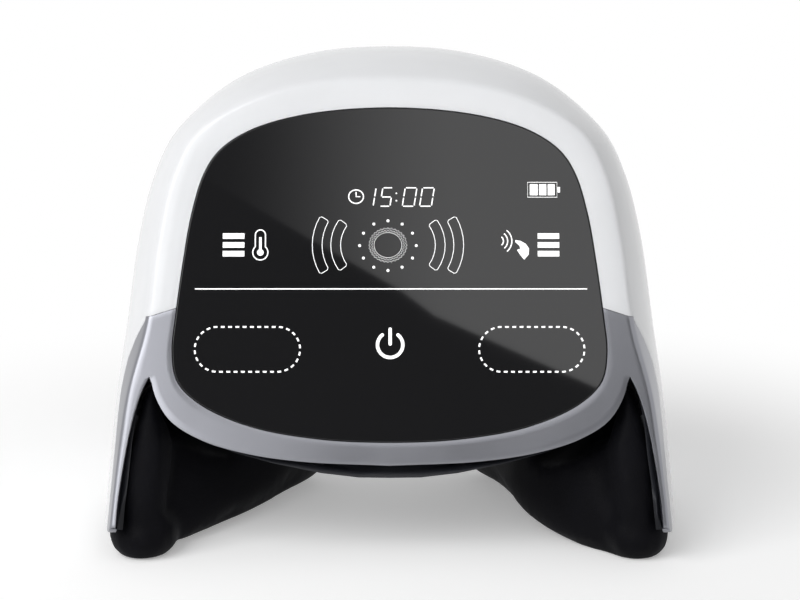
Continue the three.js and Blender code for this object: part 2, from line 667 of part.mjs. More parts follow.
// Tubes and leads, and the holes that they pass through
const TUBE_RADIUS = 1.5;
const TUBE_HOLE_RADIUS = 2.2;
const TUBE_DROP_X = 91.2;
const TUBE_DROP_Y = -4;
const LEAD_RADIUS = 0.9;
const LEAD_HOLE_RADIUS = 1.6;
const HEATER_U = 12;
const HEATER_V = 6;

// Charging socket that opens downwards through the floor, on a small board
const SOCKET_U = -52;
const SOCKET_WIDTH = 9;
const SOCKET_HEIGHT = 3.4;
const SOCKET_LENGTH = 7.4;
const SOCKET_LIP = 0.8;
const SOCKET_DEPTH = 12;
const CHARGING_BOARD_WIDTH = 13;
const CHARGING_BOARD_LENGTH = 7;
const CHARGING_BOARD_REACH = 4.2;
const CHARGING_POST_WIDTH = 5;

const floorDrop = (x) => {
  const rows = [
    [0, -FRONT_LOW - LIP_DROP], ...FLOOR_SHARES.map(([a, b]) => [a * FRONT_HALF_WIDTH, b * FRONT_LOW]),
  ];
  const after = rows.findIndex((row) => row[0] >= Math.abs(x));
  const [x0, v0] = rows[Math.max(after - 1, 0)];
  const [x1, v1] = rows[Math.max(after, 1)];
  return v0 + (v1 - v0) * (Math.abs(x) - x0) / (x1 - x0);
};
const floorHeightAt = (x) => PANEL_HEIGHT + floorDrop(x) * Math.cos(PANEL_TILT);

// Everything above the floor's underside, or above the same outline raised by a wall
function floorSolid(raise) {
  const right = [vector2(0, -FRONT_LOW - LIP_DROP), ...FLOOR_SHARES.map(([x, v]) => (
    vector2(x * FRONT_HALF_WIDTH, v * FRONT_LOW)
  ))];
  const left = right.slice(1).reverse().map((point) => vector2(-point.x, point.y));
  const floor = new THREE.SplineCurve([...left, ...right]).getPoints(FLOOR_STEPS)
    .map((point) => vector2(point.x, PANEL_HEIGHT + point.y * Math.cos(PANEL_TILT) + raise));
  const outline = [...floor, vector2(floor[FLOOR_STEPS].x, FAR), vector2(floor[0].x, FAR)];
  const geometry = new THREE.ExtrudeGeometry(
    new THREE.Shape(outline), { depth: 2 * FAR, bevelEnabled: false },
  );
  const axes = new THREE.Matrix4().makeBasis(
    new THREE.Vector3(1, 0, 0), new THREE.Vector3(0, 0, 1), new THREE.Vector3(0, -1, 0),
  );
  return toSolid(geometry.translate(0, 0, -FAR).applyMatrix4(axes));
}

// A box in the panel's frame, from its lowest to its highest u, v and depth
const panelBox = (lowU, highU, lowV, highV, front, back) => (
  new THREE.BoxGeometry(highU - lowU, highV - lowV, back - front)
    .translate((lowU + highU) / 2, (lowV + highV) / 2, -(front + back) / 2)
);

const socketMouthV = panelV(floorHeightAt(SOCKET_U), SOCKET_DEPTH) + SOCKET_LIP;
const chargingBoardFront = SOCKET_DEPTH + SOCKET_HEIGHT / 2 + GAP;
const chargingBoardBack = chargingBoardFront + BOARD_THICKNESS;
const chargingBoardTop = socketMouthV + SOCKET_LENGTH + CHARGING_BOARD_REACH;

function innerShellPosts() {
  const posts = boardPosts.map(({ u, v }) => (
    panelSolid(postGeometry(BOARD_POST_RADIUS, BOSS_SIDES, u, v, BOARD_BACK + GAP, bowlDepthAt(u, v, 0)))
  ));
  const bosses = housingScrews.map(({ u, v, meet }) => (
    panelSolid(
      postGeometry(INNER_BOSS_RADIUS, BOSS_SIDES, u, v, meet + GAP, bowlDepthAt(u, v, 0) + INNER_WALL),
    )
  ));
  const chargingPost = panelSolid(panelBox(
    SOCKET_U - CHARGING_POST_WIDTH / 2, SOCKET_U + CHARGING_POST_WIDTH / 2,
    chargingBoardTop - CHARGING_POST_WIDTH, chargingBoardTop,
    chargingBoardBack + GAP, chargingBoardBack + OVERRUN,
  ));
  return joined(...posts, ...bosses, chargingPost).subtract(bowlSolid(0));
}

function innerShellHoles() {
  const posts = screwedPosts.map(({ u, v }) => panelSolid(
    postGeometry(BOARD_SCREW.radius + GAP, BOSS_SIDES, u, v, 0, BOARD_FRONT + BOARD_SCREW_REACH + GAP),
  ));
  const bores = housingScrews.map(({ u, v, meet }) => (
    panelSolid(postGeometry(HOUSING_SCREW.radius + GAP, BOSS_SIDES, u, v, meet, meet + OVERRUN))
  ));
  const counterbores = housingScrews.map(({ u, v, meet, seat }) => (
    panelSolid(postGeometry(HOUSING_SCREW.headRadius + GAP, BOSS_SIDES, u, v, seat - GAP, meet + OVERRUN))
  ));
  const frontBossRooms = housingScrews.map(({ u, v, meet }) => (
    panelSolid(postGeometry(BOSS_RADIUS + GAP, BOSS_SIDES, u, v, 0, meet + GAP))
  ));
  const heaterDepth = bowlDepthAt(HEATER_U, HEATER_V, 0);
  const heater = panelSolid(postGeometry(
    LEAD_HOLE_RADIUS, BOSS_SIDES, HEATER_U, HEATER_V,
    heaterDepth - 4 * INNER_WALL, heaterDepth + 4 * INNER_WALL,
  ));
  const tubes = [-1, 1].map((side) => toSolid(
    new THREE.CylinderGeometry(TUBE_HOLE_RADIUS, TUBE_HOLE_RADIUS, 4 * INNER_WALL, BOSS_SIDES)
      .rotateX(Math.PI / 2).translate(side * TUBE_DROP_X, TUBE_DROP_Y, floorHeightAt(TUBE_DROP_X)),
  ));
  const socket = panelSolid(panelBox(
    SOCKET_U - SOCKET_WIDTH / 2 - GAP, SOCKET_U + SOCKET_WIDTH / 2 + GAP,
    socketMouthV - SOCKET_LENGTH, socketMouthV + SOCKET_LENGTH,
    SOCKET_DEPTH - SOCKET_HEIGHT / 2 - GAP, SOCKET_DEPTH + SOCKET_HEIGHT / 2 + GAP,
  ));
  return joined(...posts, ...bores, ...counterbores, ...frontBossRooms, heater, ...tubes, socket);
}

function addInnerShell() {
  const room = hoodCore(() => LINER_DEPTH);
  const liner = room.subtract(hoodCore(() => WING_DEPTH, PAST_REAR_SHARE));
  const compartment = floorSolid(INNER_WALL).subtract(kneeSpace(INNER_WALL));
  const shell = room.intersect(liner.add(floorSolid(0).subtract(kneeSpace(0))))
    .subtract(compartment)
    .add(innerShellPosts().intersect(room))
    .subtract(innerShellHoles())
    .subtract(inFrontOf(FACE_THICKNESS + GAP))
    .subtract(below(WING_LIFT + LINER_LIFT))
    .intersect(wingEnds());
  addPiece(massager, 'inner_shell', toGeometry(shell), finish.blackSatin);
}

// Display: the mask fills the window with its flange behind the ledge. It has a light well behind
// every lit symbol and round every touch spring, and its posts carry the display board
const FLANGE_WIDTH = 2.3;
const MASK_SKIN = 0.8;
const MASK_POST_RADIUS = 3;
const DISPLAY_INSET = 8;
const LED_SIZE = 1.6;
const LED_HEIGHT = 0.5;
const KEY_WELL_RADIUS = 5;
const KEY_SPRING_RADIUS = 3;
const KEY_SPRING_WIRE = 1;
const KEY_SHARES = { left: [-0.648, -0.458], power: [0, -0.417], right: [0.648, -0.458] };
// Each light well's centre and half size
const WELL_SHARES = [
  [0.026, 0.46, 0.233, 0.1], [0.712, 0.505, 0.097, 0.075], [-0.667, 0.172, 0.13, 0.125],
  [0.648, 0.167, 0.155, 0.125], [-0.272, 0.167, 0.104, 0.19], [0.272, 0.167, 0.104, 0.19],
  [-0.008, 0.168, 0.14, 0.18],
];
const DISPLAY_SCREW_SHARES = [[-0.6, 0.7], [0.6, 0.7], [-0.75, -0.7], [0.75, -0.7]];
const glassPlace = ([x, y]) => ({ u: x * HALF_GLASS_WIDTH, v: y * HALF_GLASS_HEIGHT });
const displayScrews = DISPLAY_SCREW_SHARES.map((share) => (
  { ...glassPlace(share), tip: TAPE_FRONT + MASK_SKIN + GAP, seat: DISPLAY_BACK + GAP }
));

function addDisplay() {
  const core = toSolid(
    plateGeometry(offsetOutline(coarseGlassOutline, -LEDGE_WIDTH - 2 * GAP), TAPE_FRONT, FLANGE_BACK),
  );
  const flange = toSolid(
    plateGeometry(offsetOutline(coarseGlassOutline, FLANGE_WIDTH - LEDGE_WIDTH), FLANGE_FRONT, FLANGE_BACK),
  );
  const wells = WELL_SHARES.map(([x, y, width, height]) => {
    const { u, v } = glassPlace([x, y]);
    const [halfWidth, halfHeight] = [width * HALF_GLASS_WIDTH, height * HALF_GLASS_HEIGHT];
    return toSolid(panelBox(u - halfWidth, u + halfWidth, v - halfHeight, v + halfHeight, 0, DISPLAY_FRONT));
  });
  const keyWells = Object.values(KEY_SHARES).map(glassPlace).map(({ u, v }) => (
    toSolid(postGeometry(KEY_WELL_RADIUS, BOSS_SIDES, u, v, 0, DISPLAY_FRONT))
  ));
  const posts = displayScrews.map(({ u, v }) => (
    toSolid(postGeometry(MASK_POST_RADIUS, BOSS_SIDES, u, v, FLANGE_FRONT, DISPLAY_FRONT - GAP))
  ));
  const bores = displayScrews.map(({ u, v, tip }) => (
    toSolid(postGeometry(BOARD_SCREW.radius + GAP, SCREW_SIDES, u, v, tip - GAP, DISPLAY_BACK + GAP))
  ));
  const mask = joined(core, flange, ...posts).subtract(joined(...wells, ...keyWells, ...bores));
  addPiece(panel, 'light_mask', toGeometry(mask), finish.whitePlastic);

  const leds = WELL_SHARES.map(glassPlace).map(({ u, v }) => toSolid(
    panelBox(
      u - LED_SIZE / 2, u + LED_SIZE / 2, v - LED_SIZE / 2, v + LED_SIZE / 2,
      DISPLAY_FRONT - LED_HEIGHT, DISPLAY_BACK,
    ),
  ));
  const board = toSolid(
    plateGeometry(offsetOutline(coarseGlassOutline, -DISPLAY_INSET), DISPLAY_FRONT, DISPLAY_BACK),
  );
  addPiece(
    panel, 'display_board', toGeometry(joined(board, ...leds).subtract(joined(...bores))), finish.board,
  );
  addScrews('display_screw', displayScrews, BOARD_SCREW);

  Object.entries(KEY_SHARES).forEach(([name, share]) => {
    const { u, v } = glassPlace(share);
    const core = circle(KEY_SPRING_RADIUS - KEY_SPRING_WIRE, SCREW_SIDES, u, v);
    const ring = plateGeometry(
      circle(KEY_SPRING_RADIUS, SCREW_SIDES, u, v), TAPE_FRONT, DISPLAY_FRONT - GAP, [core],
    );
    addPiece(panel, `${name}_key_spring`, ring, finish.steel);
  });
}

// Main board with its chip, plugs and the header that meets the display board
const HEADER_WIDTH = 14;
const HEADER_HEIGHT = 4;
const HEADER_V = -25;
const CHIP_SIZE = 9;
const CHIP_HEIGHT = 1.2;
const CHIP_U = -10;
const CHIP_V = -20;
const BUZZER_RADIUS = 4.2;
const BUZZER_HEIGHT = 3.6;
const BUZZER_U = 14;
const BUZZER_V = -20;
const boardScrews = screwedPosts.map((post) => (
  { ...post, tip: BOARD_FRONT + BOARD_SCREW_REACH, seat: BOARD_FRONT - GAP }
));

function addMainBoard() {
  const plate = toSolid(
    panelBox(-BOARD_HALF_WIDTH, BOARD_HALF_WIDTH, BOARD_LOW_V, BOARD_HIGH_V, BOARD_FRONT, BOARD_BACK),
  );
  const chip = toSolid(panelBox(
    CHIP_U - CHIP_SIZE / 2, CHIP_U + CHIP_SIZE / 2, CHIP_V - CHIP_SIZE / 2, CHIP_V + CHIP_SIZE / 2,
    BOARD_FRONT, BOARD_BACK + CHIP_HEIGHT,
  ));
  const holes = screwedPosts.map(({ u, v }) => (
    toSolid(postGeometry(BOARD_SCREW.radius + GAP, SCREW_SIDES, u, v, 0, BOARD_BACK + GAP))
  ));
  addPiece(panel, 'main_board', toGeometry(plate.add(chip).subtract(joined(...holes))), finish.board);
  addScrews('board_screw', boardScrews, BOARD_SCREW);
  addPiece(panel, 'board_connector', panelBox(
    -HEADER_WIDTH / 2, HEADER_WIDTH / 2, HEADER_V - HEADER_HEIGHT / 2, HEADER_V + HEADER_HEIGHT / 2,
    DISPLAY_BACK + GAP, BOARD_FRONT - GAP,
  ), finish.blackSatin);
  const buzzer = postGeometry(
    BUZZER_RADIUS, BOSS_SIDES, BUZZER_U, BUZZER_V, BOARD_BACK + GAP, BOARD_BACK + GAP + BUZZER_HEIGHT,
  );
  addPiece(panel, 'buzzer', buzzer, finish.blackSatin);
}

// Pieces that stand on the inner shell's front side are cut back to it
const compartmentRoom = floorSolid(INNER_WALL + GAP).subtract(kneeSpace(INNER_WALL + GAP));
const aboveWall = (solid) => solid.intersect(compartmentRoom);
const addCutPiece = (name, geometry, material, cut = null) => {
  const solid = aboveWall(panelSolid(geometry));
  addPiece(massager, name, toGeometry(cut ? solid.subtract(cut) : solid), material);
};

// Battery between the display board and a foam block that lies on the inner shell
const BATTERY_LOW_V = 13;
const BATTERY_HIGH_V = 47;
const BATTERY_RADIUS = 3;
const FOAM_INSET = 3;
const FOAM_REACH = 20;

function addBattery() {
  const outline = roundedRectangle(
    2 * BATTERY_HALF_WIDTH, BATTERY_HIGH_V - BATTERY_LOW_V, BATTERY_RADIUS,
    0, (BATTERY_LOW_V + BATTERY_HIGH_V) / 2,
  );
  addPiece(panel, 'battery_pack', plateGeometry(outline, BATTERY_FRONT, BATTERY_BACK), finish.wrap);
  addCutPiece('battery_foam', panelBox(
    -BATTERY_HALF_WIDTH + FOAM_INSET, BATTERY_HALF_WIDTH - FOAM_INSET,
    BATTERY_LOW_V + FOAM_INSET, BATTERY_HIGH_V - FOAM_INSET, BATTERY_BACK + GAP, BATTERY_BACK + FOAM_REACH,
  ), finish.tape);
}

// Charging socket and its board
function addCharging() {
  const shell = panelBox(
    SOCKET_U - SOCKET_WIDTH / 2, SOCKET_U + SOCKET_WIDTH / 2, socketMouthV, socketMouthV + SOCKET_LENGTH,
    SOCKET_DEPTH - SOCKET_HEIGHT / 2, SOCKET_DEPTH + SOCKET_HEIGHT / 2,
  );
  const mouth = panelBox(
    SOCKET_U - SOCKET_WIDTH / 2 + GAP, SOCKET_U + SOCKET_WIDTH / 2 - GAP,
    socketMouthV - SOCKET_LIP, socketMouthV + SOCKET_LENGTH - SOCKET_LIP,
    SOCKET_DEPTH - SOCKET_HEIGHT / 2 + GAP, SOCKET_DEPTH + SOCKET_HEIGHT / 2 - GAP,
  );
  const tongue = panelBox(
    SOCKET_U - SOCKET_WIDTH / 4, SOCKET_U + SOCKET_WIDTH / 4,
    socketMouthV + SOCKET_LIP, socketMouthV + SOCKET_LENGTH,
    SOCKET_DEPTH - GAP, SOCKET_DEPTH + GAP,
  );
  const socket = toSolid(shell).subtract(toSolid(mouth)).add(toSolid(tongue));
  addPiece(panel, 'charging_socket', toGeometry(socket), finish.steel);
  addPiece(panel, 'charging_board', panelBox(
    SOCKET_U - CHARGING_BOARD_WIDTH / 2, SOCKET_U + CHARGING_BOARD_WIDTH / 2,
    chargingBoardTop - CHARGING_BOARD_LENGTH, chargingBoardTop, chargingBoardFront, chargingBoardBack,
  ), finish.board);
}

// Air pump: a motor with an eccentric in the pump head's open cup, in a cradle on the inner shell
const PUMP_CUP_RADIUS = 8.4;
const PUMP_CUP_DEPTH = 9;
const ECCENTRIC_RADIUS = 5.2;
const ECCENTRIC_OFFSET = 1.5;
const ECCENTRIC_THICKNESS = 4.5;
const SHAFT_RADIUS = 1;
const SHAFT_REACH = 4;
const MOTOR_CAP_RADIUS_SHARE = 0.35;
const NOZZLE_RADIUS = 1.5;
const NOZZLE_LENGTH = 3;
const CRADLE_INSET = 6;
const ROUND_SIDES = 20;
const upright = (radius, u, lowV, highV, depth, sides = ROUND_SIDES) => (
  toSolid(uprightGeometry(radius, sides, u, lowV, highV, depth))
);

// A motor can with a bore for its shaft at the low end and a cap at the high one
function motorSolid(radius, u, lowV, highV, depth) {
  return upright(radius, u, lowV, highV, depth)
    .add(upright(
      radius * MOTOR_CAP_RADIUS_SHARE, u, lowV + SHAFT_REACH, highV + MOTOR_CAP_HEIGHT, depth, BOSS_SIDES,
    ))
    .subtract(upright(SHAFT_RADIUS + SLACK, u, lowV - GAP, lowV + SHAFT_REACH + SLACK, depth, BOSS_SIDES));
}

// A saddle from just behind the motor's axis to the inner shell
function addCradle(name, radius, u, lowV, highV, depth) {
  const halfWidth = cradleHalfWidth(radius);
  const hollow = panelSolid(uprightGeometry(radius + GAP, ROUND_SIDES, u, lowV - GAP, highV + GAP, depth));
  const box = panelBox(u - halfWidth, u + halfWidth, lowV, highV, depth + SLACK, depth + OVERRUN / 2);
  addCutPiece(name, box, finish.blackSatin, hollow);
}

function addPump() {
  const motorLow = PUMP_SPLIT_V + GAP;
  const motor = motorSolid(PUMP_MOTOR_RADIUS, PUMP_U, motorLow, PUMP_MOTOR_HIGH_V, PUMP_DEPTH);
  addPiece(panel, 'pump_motor', toGeometry(motor), finish.steel);
  const headLow = PUMP_SPLIT_V - PUMP_HEAD_LENGTH;
  const head = upright(PUMP_HEAD_RADIUS, PUMP_U, headLow, PUMP_SPLIT_V, PUMP_DEPTH)
    .add(upright(
      NOZZLE_RADIUS, PUMP_U, headLow - NOZZLE_LENGTH, headLow + NOZZLE_LENGTH, PUMP_DEPTH, BOSS_SIDES,
    ))
    .subtract(
      upright(PUMP_CUP_RADIUS, PUMP_U, PUMP_SPLIT_V - PUMP_CUP_DEPTH, PUMP_SPLIT_V + GAP, PUMP_DEPTH),
    );
  addPiece(panel, 'pump_head', toGeometry(head), finish.whitePlastic);
  const discLow = PUMP_SPLIT_V - PUMP_CUP_DEPTH + SLACK;
  const eccentric = upright(
    ECCENTRIC_RADIUS, PUMP_U, discLow, discLow + ECCENTRIC_THICKNESS, PUMP_DEPTH + ECCENTRIC_OFFSET,
  ).add(upright(SHAFT_RADIUS, PUMP_U, discLow, motorLow + SHAFT_REACH, PUMP_DEPTH, BOSS_SIDES));
  addPiece(panel, 'pump_eccentric', toGeometry(eccentric), finish.whitePlastic);
  addCradle(
    'pump_cradle', PUMP_MOTOR_RADIUS, PUMP_U,
    motorLow + CRADLE_INSET, PUMP_MOTOR_HIGH_V - CRADLE_INSET, PUMP_DEPTH,
  );
}

// Two vibration motors, each with a half-disc weight on its shaft
const MOTOR_DEPTH = 16.5;
const MOTOR_LOW_V = 8;
const MOTOR_HIGH_V = 30;
const WEIGHT_RADIUS = 6;
const WEIGHT_THICKNESS = 5;
const WEIGHT_GAP = 1.5;

function addVibrationMotors() {
  [['left', -1], ['right', 1]].forEach(([name, side]) => {
    const u = side * MOTOR_U;
    const motor = motorSolid(MOTOR_RADIUS, u, MOTOR_LOW_V, MOTOR_HIGH_V, MOTOR_DEPTH);
    addPiece(panel, `${name}_motor`, toGeometry(motor), finish.steel);
    const high = MOTOR_LOW_V - WEIGHT_GAP;
    const low = high - WEIGHT_THICKNESS;
    const otherHalf = toSolid(panelBox(
      u - WEIGHT_RADIUS - GAP, u + WEIGHT_RADIUS + GAP, low - GAP, high + GAP,
      MOTOR_DEPTH - WEIGHT_RADIUS - GAP, MOTOR_DEPTH,
    ));
    const weight = upright(WEIGHT_RADIUS, u, low, high, MOTOR_DEPTH)
      .subtract(otherHalf)
      .add(upright(SHAFT_RADIUS + SLACK, u, low, high, MOTOR_DEPTH, BOSS_SIDES))
      .add(upright(SHAFT_RADIUS, u, low, MOTOR_LOW_V + SHAFT_REACH, MOTOR_DEPTH, BOSS_SIDES));
    addPiece(panel, `${name}_weight`, toGeometry(weight), finish.brass);
    addCradle(
      `${name}_motor_cradle`, MOTOR_RADIUS, u,
      MOTOR_LOW_V + CRADLE_INSET / 2, MOTOR_HIGH_V - CRADLE_INSET / 2, MOTOR_DEPTH,
    );
  });
}

// Release valve: a plunger on a spring inside a block that stands on the inner shell
const VALVE_V = -27.5;
const VALVE_HALF_HEIGHT = 5.5;
const VALVE_FRONT = 9;
const VALVE_DEPTH = 13.4;
const VALVE_BORE_RADIUS = 3;
const VALVE_WALL = 2;
const VALVE_VENT_RADIUS = 1;
const PLUNGER_LENGTH = 5.2;
const SPRING_WIRE = 0.9;
const VALVE_NOZZLE_INSET = 8.5;
const VALVE_NOZZLE_U = VALVE_LOW_U + VALVE_NOZZLE_INSET;
const valveBoreLow = VALVE_LOW_U + VALVE_WALL;
const valveBoreHigh = VALVE_LOW_U + VALVE_LENGTH - VALVE_WALL;
const alongU = (radius, lowU, highU, v, depth, sides = BOSS_SIDES) => (
  new THREE.CylinderGeometry(radius, radius, highU - lowU, sides).rotateZ(-Math.PI / 2)
    .translate((lowU + highU) / 2, v, -depth)
);

function addValve() {
  const bore = panelSolid(alongU(VALVE_BORE_RADIUS, valveBoreLow, valveBoreHigh, VALVE_V, VALVE_DEPTH));
  const vent = panelSolid(
    alongU(VALVE_VENT_RADIUS, valveBoreLow, valveBoreHigh + VALVE_LENGTH, VALVE_V, VALVE_DEPTH),
  );
  const block = panelSolid(panelBox(
    VALVE_LOW_U, VALVE_LOW_U + VALVE_LENGTH, VALVE_V - VALVE_HALF_HEIGHT, VALVE_V + VALVE_HALF_HEIGHT,
    VALVE_FRONT, VALVE_FRONT + OVERRUN,
  ));
  const nozzleLow = VALVE_V - VALVE_HALF_HEIGHT - NOZZLE_LENGTH;
  const nozzle = panelSolid(uprightGeometry(
    NOZZLE_RADIUS, BOSS_SIDES, VALVE_NOZZLE_U, nozzleLow,
    nozzleLow + NOZZLE_LENGTH + VALVE_WALL / 2, VALVE_DEPTH,
  ));
  const body = aboveWall(block).add(nozzle).subtract(bore).subtract(vent);
  addPiece(massager, 'valve_body', toGeometry(body), finish.whitePlastic);
  const plungerLow = valveBoreLow + GAP;
  const plungerHigh = plungerLow + PLUNGER_LENGTH;
  const plunger = alongU(VALVE_BORE_RADIUS - GAP, plungerLow, plungerHigh, VALVE_V, VALVE_DEPTH);
  addPiece(panel, 'valve_plunger', plunger, finish.steel);
  const springHigh = valveBoreHigh - GAP;
  const springRadius = VALVE_BORE_RADIUS - 2 * GAP;
  const spring = toSolid(alongU(springRadius, plungerHigh + GAP, springHigh, VALVE_V, VALVE_DEPTH))
    .subtract(
      toSolid(alongU(springRadius - SPRING_WIRE, plungerHigh, springHigh + GAP, VALVE_V, VALVE_DEPTH)),
    );
  addPiece(panel, 'valve_spring', toGeometry(spring), finish.steel);
}

// Air tee: a bar with four nozzles on two feet
const TEE_LENGTH = 20;
const TEE_VALVE_INSET = 4;
const TEE_PUMP_INSET = 3;
const TEE_LOW_U = VALVE_NOZZLE_U - TEE_VALVE_INSET;
const TEE_HIGH_U = TEE_LOW_U + TEE_LENGTH;
const TEE_PUMP_U = TEE_HIGH_U - TEE_PUMP_INSET;
const TEE_V = -51;
const TEE_HALF_HEIGHT = 2;
const TEE_DEPTH = 12.4;
const TEE_FOOT_WIDTH = 3;

function addTee() {
  const halfDepth = TEE_HALF_HEIGHT;
  const bar = panelSolid(panelBox(
    TEE_LOW_U, TEE_HIGH_U, TEE_V - TEE_HALF_HEIGHT,
    TEE_V + TEE_HALF_HEIGHT, TEE_DEPTH - halfDepth, TEE_DEPTH + halfDepth,
  ));
  const feet = [TEE_LOW_U + SLACK, TEE_HIGH_U - TEE_FOOT_WIDTH - SLACK].map((u) => panelSolid(panelBox(
    u, u + TEE_FOOT_WIDTH, TEE_V - TEE_HALF_HEIGHT + GAP, TEE_V + TEE_HALF_HEIGHT - GAP,
    TEE_DEPTH, TEE_DEPTH + OVERRUN,
  )));
  const ends = panelSolid(
    alongU(NOZZLE_RADIUS, TEE_LOW_U - NOZZLE_LENGTH, TEE_HIGH_U + NOZZLE_LENGTH, TEE_V, TEE_DEPTH),
  );
  const nozzles = [VALVE_NOZZLE_U, TEE_PUMP_U].map((u) => panelSolid(
    uprightGeometry(NOZZLE_RADIUS, BOSS_SIDES, u, TEE_V, TEE_V + TEE_HALF_HEIGHT + NOZZLE_LENGTH, TEE_DEPTH),
  ));
  addPiece(massager, 'air_tee', toGeometry(
    aboveWall(joined(bar, ...feet)).add(joined(ends, ...nozzles)),
  ), finish.whitePlastic);
}

// Tubes and leads follow hand-picked points. Those of the panel's stack are u, v and depth
const TUBE_SIDES = 8;
const place = (u, v, depth) => panelPoint(u, v, depth);
const point = (x, y, z) => new THREE.Vector3(x, y, z);

function addRun(name, points, count, radius, material) {
  const path = new THREE.CatmullRomCurve3(points, false, 'centripetal');
  const shape = new THREE.Shape(circle(radius, TUBE_SIDES));
  const geometry = new THREE.ExtrudeGeometry(shape, { steps: count, extrudePath: path, bevelEnabled: false });
  addPiece(massager, name, geometry, material);
}

const addTube = (name, points, count) => addRun(name, points, count, TUBE_RADIUS, finish.tubing);
const addLead = (name, points, count) => addRun(name, points, count, LEAD_RADIUS, finish.lead);

function addTubes() {
  const nozzleEnd = NOZZLE_LENGTH + GAP;
  const teeTop = TEE_V + TEE_HALF_HEIGHT + nozzleEnd;
  const valveEnd = place(VALVE_NOZZLE_U, VALVE_V - VALVE_HALF_HEIGHT - nozzleEnd, VALVE_DEPTH);
  const pumpEnd = place(PUMP_U, PUMP_SPLIT_V - PUMP_HEAD_LENGTH - nozzleEnd, PUMP_DEPTH);
  const teeValveEnd = place(VALVE_NOZZLE_U, teeTop, TEE_DEPTH);
  const teePumpEnd = place(TEE_PUMP_U, teeTop, TEE_DEPTH);
  addTube('valve_tube', [valveEnd, place(44, -41, 12.9), teeValveEnd], 3);
  addTube('pump_tube', [
    pumpEnd, place(65.8, -38, 20.1), place(61.5, -41, 16.4), place(57.4, -43.2, 12.8), teePumpEnd,
  ], 7);
  addTube('right_air_tube', [
    place(TEE_HIGH_U + nozzleEnd, TEE_V, TEE_DEPTH),
    point(66.5, -41.8, 47.6), point(72, -39, 51), point(79, -32, 58.5),
    point(85, -21, 68), point(88.5, -12, 71.5), point(90.8, -6, 69),
    point(91.2, -4, 63), point(91.2, -4, 51.4),
  ], 18);
  addTube('left_air_tube', [
    place(TEE_LOW_U - nozzleEnd, TEE_V, TEE_DEPTH), place(33, -50.8, 12.3),
    place(24, -45, 10.9), place(12, -42.5, 10.2), place(-12, -42.5, 10.2),
    place(-24, -44, 11), place(-38, -44.5, 12.8),
    place(-52, -43.5, 14.5), point(-66, -40, 53), point(-73, -37, 54.5),
    point(-79, -31.5, 59.5), point(-85, -21, 69),
    point(-88.5, -12, 72), point(-90.8, -6, 69), point(-91.2, -4, 63),
    point(-91.2, -4, 51.4),
  ], 30);
}

function addLeads() {
  addLead('battery_lead', [
    place(-12, 12.7, 14), place(-12, 6, 15), place(-12, -2, 15), place(-12, -7.5, 14.4), place(-12, -8, 12.3),
  ], 8);
  addLead('pump_lead', [
    place(60, 19.3, 20.5), place(58, 26, 19), place(50, 35.5, 18), place(36, 35, 17), place(30, 22, 17),
    place(28, 6, 16), place(23, -3, 15.5), place(22, -7.5, 14.4), place(22, -8, 12.3),
  ], 18);
  addLead('left_motor_lead', [
    place(-47.5, 30.3, 16.5), place(-46, 34.5, 16.3),
    place(-37, 35, 16), place(-31, 26, 16), place(-28, 6, 15.5),
    place(-23, -3, 15), place(-22, -7.5, 14.4), place(-22, -8, 12.3),
  ], 18);
  addLead('right_motor_lead', [
    place(47.5, 30.5, 15.5), place(46.5, 33.2, 14.2),
    place(36, 33, 12.6), place(29.5, 26, 12.5), place(28.5, 10, 12.5),
    place(18, -1, 14), place(15, -7.5, 14.4), place(15, -8, 12.3),
  ], 18);
  const wall = bowlDepthAt(HEATER_U, HEATER_V, 0);
  addLead('heater_lead', [
    place(HEATER_U, HEATER_V, wall), place(HEATER_U, HEATER_V, wall - 2 * INNER_WALL),
    place(9, 0, 15), place(6, -7.5, 14.4), place(6, -8, 12.3),
  ], 8);
}

// Heated knee pad on the bowl's wall: a film, then a soft pad with raised points round a raised centre
const PAD_HEIGHT_SHARE = 0.535;
const PAD_HALF_WIDTH = 44;
const PAD_HALF_HEIGHT = 37;
const FILM_GAP = 0.9;
const FILM_THICKNESS = 0.6;
const PAD_THICKNESS = 4;
const PAD_POINTS = 9;
const PAD_POINT_HEIGHT = 3;
const PAD_POINT_RING_SHARE = 0.62;
const PAD_POINT_WIDTH_SHARE = 0.24;
const PAD_SECTORS = 27;
const PAD_RING_SHARES = [0.12, 0.3, 0.46, 0.62, 0.78, 0.96];
const FILM_RING_SHARES = [0.15, 0.55, 0.95];
const SENSOR_RADIUS = 2.5;
const SENSOR_THICKNESS = 2;
const SENSOR_V = 4;

function bowlDisc(ringShares, sectors, wallGap, thicknessAt) {
  const ring = (share, growthAt) => Array.from({ length: sectors }, (_, i) => {
    const angle = i / sectors * Math.PI * 2;
    const x = PAD_HALF_WIDTH * share * Math.cos(angle);
    const z = PAD_HEIGHT_SHARE * HOOD_TOP + PAD_HALF_HEIGHT * share * Math.sin(angle);
    return new THREE.Vector3(x, bowlY(x, z, -growthAt(share, angle)), z);
  });
  const wallSide = ringShares.map((share) => ring(share, () => wallGap));
  const kneeSide = [...ringShares].reverse()
    .map((share) => ring(share, (a, b) => wallGap + thicknessAt(a, b)));
  return loftGeometry([...wallSide, ...kneeSide]);
}

